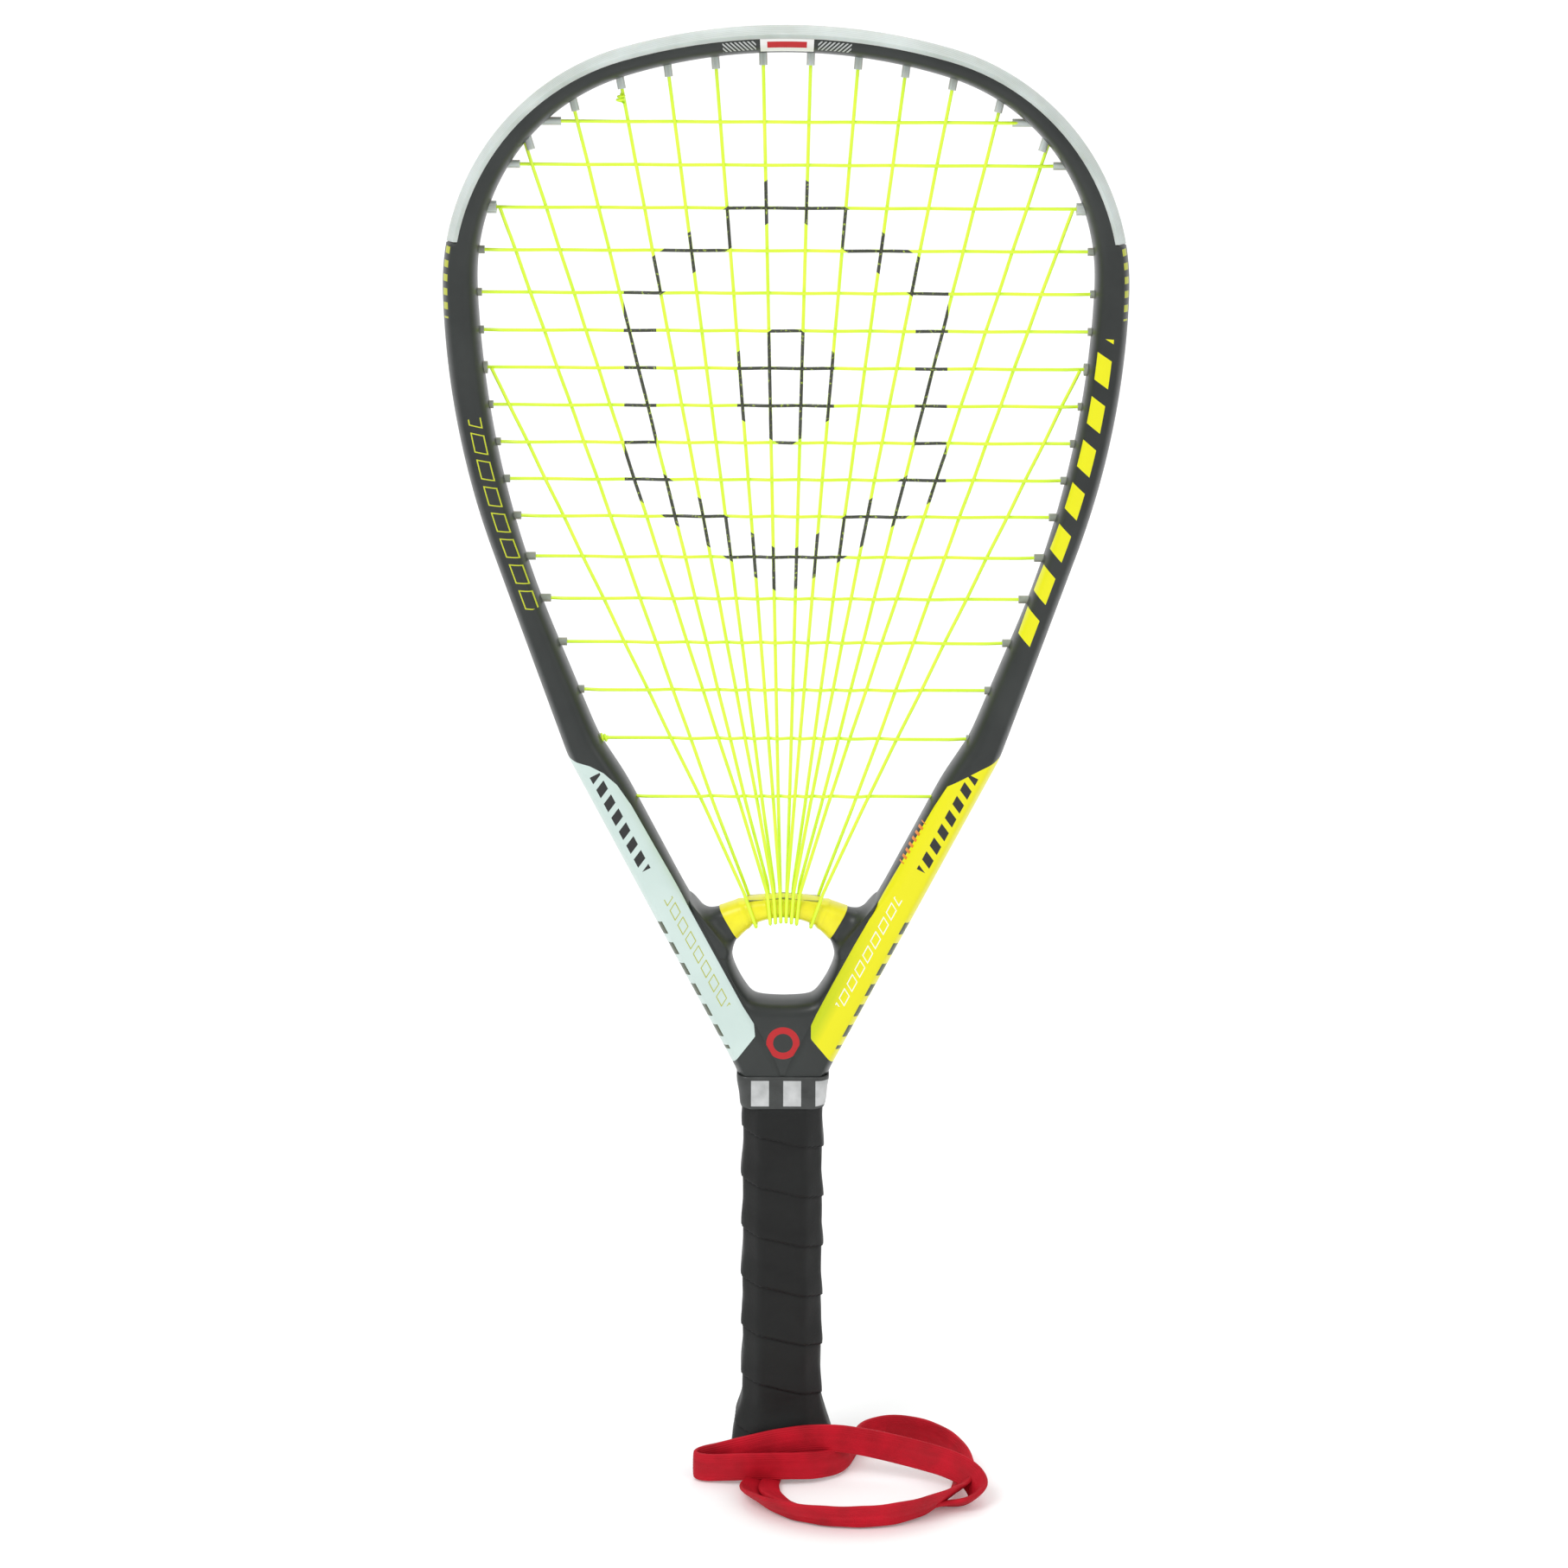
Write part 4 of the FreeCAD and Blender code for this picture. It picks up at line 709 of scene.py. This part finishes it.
def string_dents(middle):
    """Depth of the dents along the sleeve: narrow bells under the strings, with low ribs between."""
    seats = np.concatenate([-WRAP_TOPS * 0.9, WRAP_TOPS * 0.9])
    bell = np.exp(-((middle[:, :1] - seats[None]) / 0.7) ** 2).sum(1)
    rib = np.exp(-((middle[:, :1] - seats[None] * 1.13) / 0.6) ** 2).sum(1)
    return 0.28 * np.minimum(bell, 1.0) - 0.16 * np.minimum(rib, 1.0)


sleeve_finish = Finish("sleeve_yellow", (0.86, 0.80, 0.0), 0.38, Coat_Weight=0.2, Coat_Roughness=0.3)
sleeve_cloud = sleeve_finish.noise(sleeve_finish.place(), 120.0, 4.0)
sleeve_finish.set("Base Color", sleeve_finish.blend(sleeve_finish.spread(sleeve_cloud, 0.35, 0.65, 0.0, 1.0),
                                                    (0.80, 0.72, 0.0), (0.88, 0.82, 0.0)))
sleeve_finish.set("Roughness", sleeve_finish.spread(sleeve_cloud, 0.3, 0.7, 0.32, 0.48))
sleeve_finish.bump(sleeve_cloud, 0.2, 0.0004)
sleeve_points, sleeve_shape = ring_surface(
    -SLEEVE_SHARE, SLEEVE_SHARE, 260, SLEEVE_GROW, INNER_ROUND, INNER_ROUND, string_dents)
sleeve = closed_bar("bridge_cover", sleeve_points, sleeve_shape, sleeve_finish.material)
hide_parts("bridge_sleeve")

# ---------------------------------------------------------------- strings
# Neon monofilament, 1.3 mm thick. Eight lengths run down from the head, wrap the bridge from front to
# back and go up again; seventeen cross strings are woven over and under them. Two are tied off.
STRING_RADIUS = 0.65
TIE_RADIUS = 0.5
WEAVE = 0.68
CROSS_HEIGHTS = 524.2 - np.concatenate([[0.0], np.cumsum([15.6] * 4 + [13.9] * 6
                                                         + [15.4, 15.9, 16.8, 18.3, 18.8, 22.6])])
BEND_HEIGHT, BRIDGE_HEIGHT = 266.6, 234.1
MAIN_PITCH = 17.3
AIM_INSET, MAIN_INSET, CROSS_INSET, SHARED_INSET = 12.5, 2.6, 2.4, 14.1
# Cross strings whose barrels the two outermost main strings of a side share.
SHARED_CROSSES = (2, 6)
BARREL_OFFSET = 0.7
WRAP_OUT = BRIDGE_HALF + 0.9
WRAP_LOW, WRAP_FALL = 222.8, 2.2 / 10.6
HEXAGON_HEIGHT, HEXAGON_HALF = 0.428, (0.060, 0.080)


def ray_to(start, direction, inset):
    """Point where a straight string comes within an inset of the outline."""
    steps = np.arange(0.0, 420.0, 0.25)[:, None]
    ray = np.array(start) + steps * np.array(direction)
    gap = np.linalg.norm(np.abs(ray)[:, None] - right_line[None, ::4], axis=-1).min(1)
    return ray[np.argmax(gap <= inset)]


def main_top(order):
    """Upper end of a main string, in its barrel or beside a cross string in a shared one."""
    start = np.array([WRAP_TOPS[order // 2], 231.6])
    if order > 5:
        height = CROSS_HEIGHTS[SHARED_CROSSES[order - 6]]
        return ray_to((20.0, height), (1.0, 0.0), SHARED_INSET) - (1.5, 0.0)
    target = ray_to(((order + 0.5) * MAIN_PITCH, 400.0), (0.0, 1.0), AIM_INSET)
    return ray_to(start, unit(target - start), MAIN_INSET)


MAIN_TOPS = [main_top(order) for order in range(8)]


def woven_strand(order, side):
    """A main string from its upper end to the bend above the bridge: y = weave * cos(pi (k + j)),
    where k counts the cross strings passed and j the main strings from the left."""
    top = MAIN_TOPS[order]
    foot = np.array([WRAP_TOPS[order // 2], BRIDGE_HEIGHT])
    z = np.arange(top[1], BEND_HEIGHT, -1.1)
    x = top[0] + (foot[0] - top[0]) * (top[1] - z) / (top[1] - foot[1])
    place = order + 8 if side > 0 else 7 - order
    count = np.interp(-z, -CROSS_HEIGHTS, np.arange(len(CROSS_HEIGHTS)))
    y = WEAVE * np.cos(math.pi * (count + place))
    hold = smooth_step(z, top[1] - 12.0, top[1] - 3.0)
    return np.stack([side * x, y + (-BARREL_OFFSET - y) * hold, z], 1)


def wrapped_length(pair, side):
    """One length of main string: down in front, round the bridge and up behind it."""
    front, back = woven_strand(2 * pair + 1, side), woven_strand(2 * pair, side)
    top, foot = side * WRAP_TOPS[pair], side * WRAP_FEET[pair]
    low = WRAP_LOW - WRAP_FALL * WRAP_FEET[pair]
    wrap = np.array([(top, -WRAP_OUT, BRIDGE_HEIGHT), (foot, -WRAP_OUT, low), (foot, WRAP_OUT, low),
                     (top, WRAP_OUT, BRIDGE_HEIGHT)])
    line = np.concatenate([front, wrap, back[::-1]])
    return eased_line(sampled(line, int(along(line)[-1])), 0.9)


def cross_line(index):
    """A cross string, woven against every main string that passes its height."""
    height = CROSS_HEIGHTS[index]
    end = ray_to((20.0, height), (1.0, 0.0), CROSS_INSET)[0]
    crossings = []
    for side in (-1, 1):
        for order in range(8):
            top = MAIN_TOPS[order]
            if top[1] > height + 3.0:
                share = (top[1] - height) / (top[1] - BRIDGE_HEIGHT)
                crossings.append((side * (top[0] + (WRAP_TOPS[order // 2] - top[0]) * share),
                                  order + 8 if side > 0 else 7 - order))
    places = np.array(sorted(crossings))
    x = np.arange(-end, end, 1.1)
    count = np.interp(x, places[:, 0], places[:, 1])
    y = -WEAVE * np.cos(math.pi * (count + index))
    hold = smooth_step(np.abs(x), end - 20.0, end - 11.0)
    return np.stack([x, y + (BARREL_OFFSET - y) * hold, np.full(len(x), height)], 1)


def round_tube(line, radius, sides=8):
    """Round tube: at each point a circle in the plane of two directions carried along the line."""
    forward = unit(np.gradient(line, axis=0))
    level = np.zeros_like(line)
    carried = unit(np.cross(forward[0], (0.0, 1.0, 0.2)))
    for index, ahead in enumerate(forward):
        carried = carried - ahead * (carried @ ahead)
        carried /= np.linalg.norm(carried)
        level[index] = carried
    rise = np.cross(forward, level)
    turn = np.linspace(0.0, 2.0 * math.pi, sides, endpoint=False)
    points = (line[:, None] + radius * (np.cos(turn)[None, :, None] * level[:, None]
                                        + np.sin(turn)[None, :, None] * rise[:, None]))
    return points.reshape(-1, 3) * MM, grid_faces(len(line), sides)


def tubes(name, lines, radii, material):
    """Several round tubes in one mesh."""
    points, faces, count = [], [], 0
    for line, radius in zip(lines, radii):
        made, quads = round_tube(line, radius)
        points.append(made)
        faces.append(quads + count)
        count += len(made)
    return new_piece(name, np.concatenate(points), np.concatenate(faces), material)


def tie(centre, lean):
    """A half hitch beside a barrel: a short coil of just over two close turns."""
    turn = np.linspace(0.0, 4.6 * math.pi, 60)
    rise = np.linspace(-1.4, 1.4, 60)
    swell = 1.15 + 0.15 * np.sin(turn * 0.5)
    coil = np.stack([swell * np.cos(turn), swell * np.sin(turn), rise], 1)
    cosine, sine = math.cos(lean), math.sin(lean)
    spin = np.array([[cosine, 0.0, sine], [0.0, 1.0, 0.0], [-sine, 0.0, cosine]])
    return coil @ spin.T + centre


def string_finish():
    """Glossy neon plastic with a dark stencilled hexagon ring and middle, sprayed on the front; a faint
    emission, off under the stencil, paints a glow onto the strings.
    """
    # Painted glow: a weak neon emission makes the strings give off a little light of their own.
    made = Finish("string_neon", (0.66, 0.90, 0.02), 0.28, Coat_Weight=0.3, Coat_Roughness=0.1,
                  Emission_Strength=0.10)
    made.shader.inputs["Emission Color"].default_value = (0.66, 0.95, 0.02, 1.0)
    spot = made.place()
    axis = made.axes(spot)
    cloud = made.noise(spot, 70.0, 3.0)
    across = made.math("DIVIDE", made.math("ABSOLUTE", axis[0]), HEXAGON_HALF[0])
    above = made.math("ABSOLUTE", made.math("SUBTRACT", axis[2], HEXAGON_HEIGHT))
    above = made.math("DIVIDE", above, HEXAGON_HALF[1])
    slope = made.math("ADD", made.math("MULTIPLY", across, 0.5), above)
    far = made.math("MAXIMUM", across, slope)
    ring = made.math("ADD", made.between(far, 0.80, 1.0), made.math("LESS_THAN", far, 0.30))
    worn = made.spread(made.noise(spot, 900.0, 2.0), 0.30, 0.42, 0.55, 1.0)
    printed = made.math("MULTIPLY", ring, worn)
    stencil = made.math("MULTIPLY", printed, made.math("LESS_THAN", axis[1], 0.0003))
    base = made.blend(made.spread(cloud, 0.3, 0.7, 0.0, 1.0), (0.60, 0.86, 0.02), (0.72, 0.96, 0.04))
    made.set("Base Color", made.blend(stencil, base, (0.03, 0.035, 0.02)))
    # The painted glow is switched off under the dark stencil.
    made.set("Emission Color", made.blend(stencil, (0.66, 0.95, 0.02), (0.0, 0.0, 0.0)))
    made.bump(made.noise(spot, 2200.0, 2.0), 0.1, 0.00005)
    return made.material


neon = string_finish()
main_lines = [wrapped_length(pair, side) for pair in range(4) for side in (-1, 1)]
mains = tubes("main_string_bed", main_lines, [STRING_RADIUS] * len(main_lines), neon)
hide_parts("main_strings")
cross_lines = [cross_line(index) for index in range(len(CROSS_HEIGHTS))]
ties = [tie((-60.6, -0.7, 532.6), 0.1), tie((-68.6, 0.7, 293.2), math.pi / 2.0)]
cross_radii = [STRING_RADIUS] * len(cross_lines) + [TIE_RADIUS] * len(ties)
crosses = tubes("cross_string_bed", cross_lines + ties, cross_radii, neon)
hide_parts("cross_strings")

# ---------------------------------------------------------------- bumper guard and grommet strips
# Injection-moulded nylon: a silver translucent bumper with fine drawn lines along its length, and
# clear smoky side strips whose barrels line the string holes.
guard_finish = Finish("bumper_silver", (0.50, 0.52, 0.48), 0.36, Subsurface_Weight=0.15,
                      Coat_Weight=0.25, Coat_Roughness=0.2)
guard_spot = guard_finish.place()
guard_axis = guard_finish.axes(guard_spot)
guard_lines = guard_finish.math("SINE", guard_finish.math("MULTIPLY", guard_axis[1], 2.0 * math.pi / 0.0011))
guard_cloud = guard_finish.noise(guard_spot, 60.0, 4.0)
guard_tone = guard_finish.blend(guard_finish.spread(guard_cloud, 0.3, 0.7, 0.0, 1.0),
                                (0.42, 0.44, 0.39), (0.60, 0.62, 0.58))
guard_finish.set("Base Color", guard_finish.blend(guard_finish.spread(guard_lines, 0.2, 1.0, 0.0, 0.4),
                                                  guard_tone, (0.78, 0.80, 0.76)))
guard_finish.set("Roughness", guard_finish.spread(guard_cloud, 0.3, 0.7, 0.28, 0.45))
guard_finish.bump(guard_lines, 0.25, 0.0001)
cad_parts["head_guard"].data.materials[0] = guard_finish.material


def nylon(name, dark, light, roughness):
    """Smoky moulded nylon: a mottled tone with a fine matt grain."""
    made = Finish(name, dark, roughness, Subsurface_Weight=0.1)
    spot = made.place()
    cloud = made.noise(spot, 220.0, 4.0)
    made.set("Base Color", made.blend(made.spread(cloud, 0.3, 0.7, 0.0, 1.0), dark, light))
    made.set("Roughness", made.spread(cloud, 0.3, 0.7, roughness - 0.06, roughness + 0.08))
    made.bump(made.noise(spot, 1600.0, 2.0), 0.15, 0.0001)
    return made.material


grommet_nylon = nylon("grommet_smoke", (0.26, 0.27, 0.22), (0.38, 0.40, 0.33), 0.4)
for node in ("right_grommet_strip", "left_grommet_strip"):
    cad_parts[node].data.materials[0] = grommet_nylon
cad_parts["bridge_grommet_strip"].data.materials[0] = nylon(
    "guide_strip", (0.10, 0.10, 0.02), (0.42, 0.40, 0.02), 0.45)

# ---------------------------------------------------------------- grip tape
# Black rubber tape wound up the handle in a helix, each turn lapping the one below it, over a
# bevelled core that flares at the butt.
GRIP_TOP = 149.5
GRIP_FOOT = 3.15
TAPE_PITCH = 20.4
TAPE_SEAM = 110.8
TAPE_STEP = 0.75
GRIP_WIDTH, GRIP_DEPTH, GRIP_BEVEL = 31.4, 26.4, 7.0
FLARE_WIDTH, FLARE_DEPTH, FLARE_BEVEL = 8.4, 6.6, 2.0
FLARE_LOW, FLARE_HIGH = 9.0, 31.0
HEM = np.array([0.93, 0.93, 1.0])


def bevelled_radius(turn, width, depth, bevel, sharp=26.0):
    """Radius of a rounded bevelled rectangle: the sum of |n.d| / limit to a high power, inverted."""
    cosine, sine = np.abs(np.cos(turn)), np.abs(np.sin(turn))
    total = ((2.0 * cosine / width) ** sharp + (2.0 * sine / depth) ** sharp
             + ((cosine + sine) / (width / 2.0 + depth / 2.0 - bevel)) ** sharp)
    return total ** (-1.0 / sharp)


def grip_surface():
    """Rows from the inner foot round the outside to the inner top.

    The lap is a step of TAPE_STEP that fades over half a turn's height, and the phase of the winding
    is (z - seam) / pitch + turn / 2 pi.
    """
    turn = np.linspace(0.0, 2.0 * math.pi, 121)[:-1]
    height = np.linspace(GRIP_FOOT, GRIP_TOP, 300)
    flare = 1.0 - smooth_step(height, FLARE_LOW, FLARE_HIGH)
    rows, winding = [], []
    for z, wide in zip(height, flare):
        phase = np.mod((z - TAPE_SEAM) / TAPE_PITCH + turn / (2.0 * math.pi), 1.0)
        radius = bevelled_radius(turn, GRIP_WIDTH + FLARE_WIDTH * wide, GRIP_DEPTH + FLARE_DEPTH * wide,
                                 GRIP_BEVEL + FLARE_BEVEL * wide)
        fade = 1.0 - smooth_step(phase, 0.0, 0.55)
        wave = 0.12 * np.sin(turn * 3.0 + z / 7.0) + 0.08 * np.sin(turn * 5.0 - z / 3.7)
        radius = radius + TAPE_STEP * (fade - 0.45) + wave - 0.25 * np.exp(-((phase - 0.985) / 0.02) ** 2)
        rows.append(np.stack([radius * np.cos(turn), radius * np.sin(turn), np.full(len(turn), z)], 1))
        winding.append(phase)
    winding = [winding[0], *winding, winding[-1]]
    points = np.stack([rows[0] * HEM, *rows, rows[-1] * HEM]) * MM
    return points.reshape(-1, 3), np.stack(winding).ravel(), points.shape[:2]


grip_points, grip_winding, grip_shape = grip_surface()
rubber = Finish("grip_rubber", (0.008, 0.008, 0.008), 0.6, Specular_IOR_Level=0.25)
rubber_spot = rubber.place()
groove_shade_phase = rubber.node("Attribute", {"attribute_name": "winding"}).outputs["Fac"]
rubber_grain = rubber.noise(rubber_spot, 900.0, 3.0)
rubber_smear = rubber.noise(rubber_spot, 45.0, 5.0, (1.0, 1.0, 2.2))
rubber_tone = rubber.blend(rubber.spread(rubber_smear, 0.3, 0.7, 0.0, 1.0),
                           (0.005, 0.0052, 0.0052), (0.012, 0.013, 0.0125))
# Painted shade: the colour turns near black on the strip just below each lap, in the groove that the turn
# above overhangs.
rubber.set("Base Color", rubber.blend(rubber.spread(groove_shade_phase, 0.93, 1.0, 0.0, 0.85), rubber_tone,
                                      (0.002, 0.002, 0.002)))
rubber.set("Roughness", rubber.spread(rubber_smear, 0.3, 0.7, 0.42, 0.66))
rubber.bump(rubber_grain, 0.35, 0.00018)
rubber.bump(rubber_smear, 0.25, 0.0008)
grip = new_piece("wound_grip", grip_points, grid_faces(*grip_shape), rubber.material)
winding_layer = grip.data.attributes.new("winding", "FLOAT", "POINT")
winding_layer.data.foreach_set("value", grip_winding.astype(np.float32))
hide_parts("grip_tape")

# ---------------------------------------------------------------- collar tape
# A printed elastic band that finishes the top of the winding and covers the neck: black, with plain
# silver blocks round it.
COLLAR_GAP, COLLAR_HEIGHT = 0.15, 12.4
COLLAR_WIDTH, COLLAR_DEPTH, COLLAR_BEVEL = 32.6, 26.3, 3.4
NECK_WIDENING, NECK_THINNING, NECK_SHARPENING = 3.4, 3.7, 0.6
BLOCK_SHIFT, BLOCK_PITCH, BLOCK_SHARE = 0.0618, 0.0124, 0.556
BLOCK_LOW, BLOCK_HIGH = 0.1508, 0.1606


def collar_surface():
    """Tapered band with rolled edges, from the winding's top to the neck."""
    turn = np.linspace(0.0, 2.0 * math.pi, 121)[:-1]
    rise = np.concatenate([[0.0, 0.0], np.linspace(0.0, 1.0, 24), [1.0, 1.0]])
    roll = np.concatenate([[-1.0, -0.35], -0.35 * np.abs(np.linspace(-1.0, 1.0, 24)) ** 8, [-0.35, -1.0]])
    rows = []
    for share, inward in zip(rise, roll):
        radius = bevelled_radius(turn, COLLAR_WIDTH + NECK_WIDENING * share,
                                 COLLAR_DEPTH - NECK_THINNING * share,
                                 COLLAR_BEVEL - NECK_SHARPENING * share, 40.0)
        radius = radius + inward + 0.10 * np.sin(share * 9.0 + turn * 2.0)
        rows.append(np.stack([radius * np.cos(turn), radius * np.sin(turn),
                              np.full(len(turn), GRIP_TOP + COLLAR_GAP + COLLAR_HEIGHT * share)], 1))
    points = np.stack(rows) * MM
    return points.reshape(-1, 3), points.shape[:2]


collar_points, collar_shape = collar_surface()
band = Finish("collar_band", (0.020, 0.022, 0.021), 0.42, Coat_Weight=0.2, Coat_Roughness=0.3)
band_spot = band.place()
band_axis = band.axes(band_spot)
band_step = band.math("DIVIDE", band.math("ADD", band_axis[0], BLOCK_SHIFT), BLOCK_PITCH)
band_block = band.math("MULTIPLY", band.math("LESS_THAN", band.math("FRACT", band_step), BLOCK_SHARE),
                       band.between(band_axis[2], BLOCK_LOW, BLOCK_HIGH))
band_cloud = band.noise(band_spot, 160.0, 4.0)
band_mottle = band.spread(band_cloud, 0.3, 0.7, 0.0, 1.0)
band_base = band.blend(band_mottle, (0.020, 0.022, 0.021), (0.040, 0.044, 0.042))
band_silver = band.blend(band_mottle, (0.34, 0.35, 0.35), (0.56, 0.57, 0.57))
band.set("Base Color", band.blend(band_block, band_base, band_silver))
band.set("Roughness", band.spread(band_cloud, 0.3, 0.7, 0.34, 0.5))
band.bump(band.noise(band_spot, 1300.0, 2.0), 0.25, 0.00012)
collar = new_piece("neck_band", collar_points, grid_faces(*collar_shape), band.material)
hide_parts("collar_tape")

# ---------------------------------------------------------------- butt cap, plug, screws and core
# Parts of the handle that the tape hides or that show only from below: a moulded black cap and plug,
# two steel screws, and the two halves of the foam core.
black_nylon = nylon("cap_black", (0.012, 0.012, 0.012), (0.022, 0.022, 0.023), 0.5)
foam = nylon("core_foam", (0.30, 0.28, 0.22), (0.42, 0.39, 0.32), 0.85)
steel = Finish("screw_steel", (0.55, 0.56, 0.57), 0.3, Metallic=1.0)
steel_cloud = steel.noise(steel.place(), 600.0, 3.0)
steel.set("Roughness", steel.spread(steel_cloud, 0.3, 0.7, 0.22, 0.4))
for node, material in (("butt_cap", black_nylon), ("cord_plug", black_nylon), ("cap_screws", steel.material),
                       ("handle_core_front", foam), ("handle_core_back", foam)):
    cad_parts[node].data.materials[0] = material

# ---------------------------------------------------------------- floor and light
# A white studio sweep, one large soft light above and to the left, a weak one on the right and one
# behind, and an even white surround.
def sweep_surface():
    """A floor that curves up into a wall: level, then a quarter circle, then upright."""
    bend = np.linspace(0.0, math.pi / 2.0, 24)
    depth = np.concatenate([[-4.0], 1.2 + 0.8 * np.sin(bend), [2.0]])
    height = np.concatenate([[0.0], 0.8 - 0.8 * np.cos(bend), [4.0]])
    side = np.array([-4.0, 4.0])
    grid = np.stack([np.broadcast_to(side, (len(depth), 2)), np.repeat(depth[:, None], 2, 1),
                     np.repeat(height[:, None], 2, 1)], -1)
    return grid.reshape(-1, 3), grid_faces(len(depth), 2, close_columns=False)


paper = Finish("studio_paper", (0.93, 0.935, 0.94), 0.85, Emission_Strength=0.10)
paper.shader.inputs["Emission Color"].default_value = (1.0, 1.0, 1.0, 1.0)
paper_grain = paper.noise(paper.place(), 40.0, 2.0)
paper.set("Base Color", paper.blend(paper_grain, (0.925, 0.93, 0.935), (0.94, 0.945, 0.95)))
sweep_points, sweep_faces = sweep_surface()
sweep_mesh = bpy.data.meshes.new("studio_sweep")
sweep_mesh.from_pydata(sweep_points.tolist(), [], sweep_faces[:, ::-1].tolist())
sweep_mesh.polygons.foreach_set("use_smooth", np.full(len(sweep_mesh.polygons), True))
sweep_mesh.materials.append(paper.material)
sweep = bpy.data.objects.new("studio_sweep", sweep_mesh)
bpy.context.scene.collection.objects.link(sweep)

world = bpy.data.worlds.new("studio")
world.use_nodes = True
world.node_tree.nodes["Background"].inputs["Color"].default_value = (1.0, 1.0, 1.0, 1.0)
world.node_tree.nodes["Background"].inputs["Strength"].default_value = 0.78
bpy.context.scene.world = world


def soft_light(name, place, target, width, power):
    """A square light of the given width, turned to face the target."""
    data = bpy.data.lights.new(name, "AREA")
    data.size = width
    data.energy = power
    light = bpy.data.objects.new(name, data)
    bpy.context.scene.collection.objects.link(light)
    away = unit(np.array(place) - np.array(target))
    right = unit(np.cross((0.0, 0.0, 1.0), away))
    up = np.cross(away, right)
    light.matrix_world = Matrix([[*row, place[i]] for i, row in enumerate(np.stack([right, up, away], 1))]
                                + [[0.0, 0.0, 0.0, 1.0]])


soft_light("key", (-1.3, -1.5, 2.2), (0.0, 0.0, 0.25), 1.3, 26.0)
soft_light("fill", (1.6, -1.4, 1.3), (0.0, 0.0, 0.3), 1.2, 5.0)
soft_light("back", (0.3, 1.1, 2.4), (0.0, 0.0, 0.3), 1.4, 6.0)
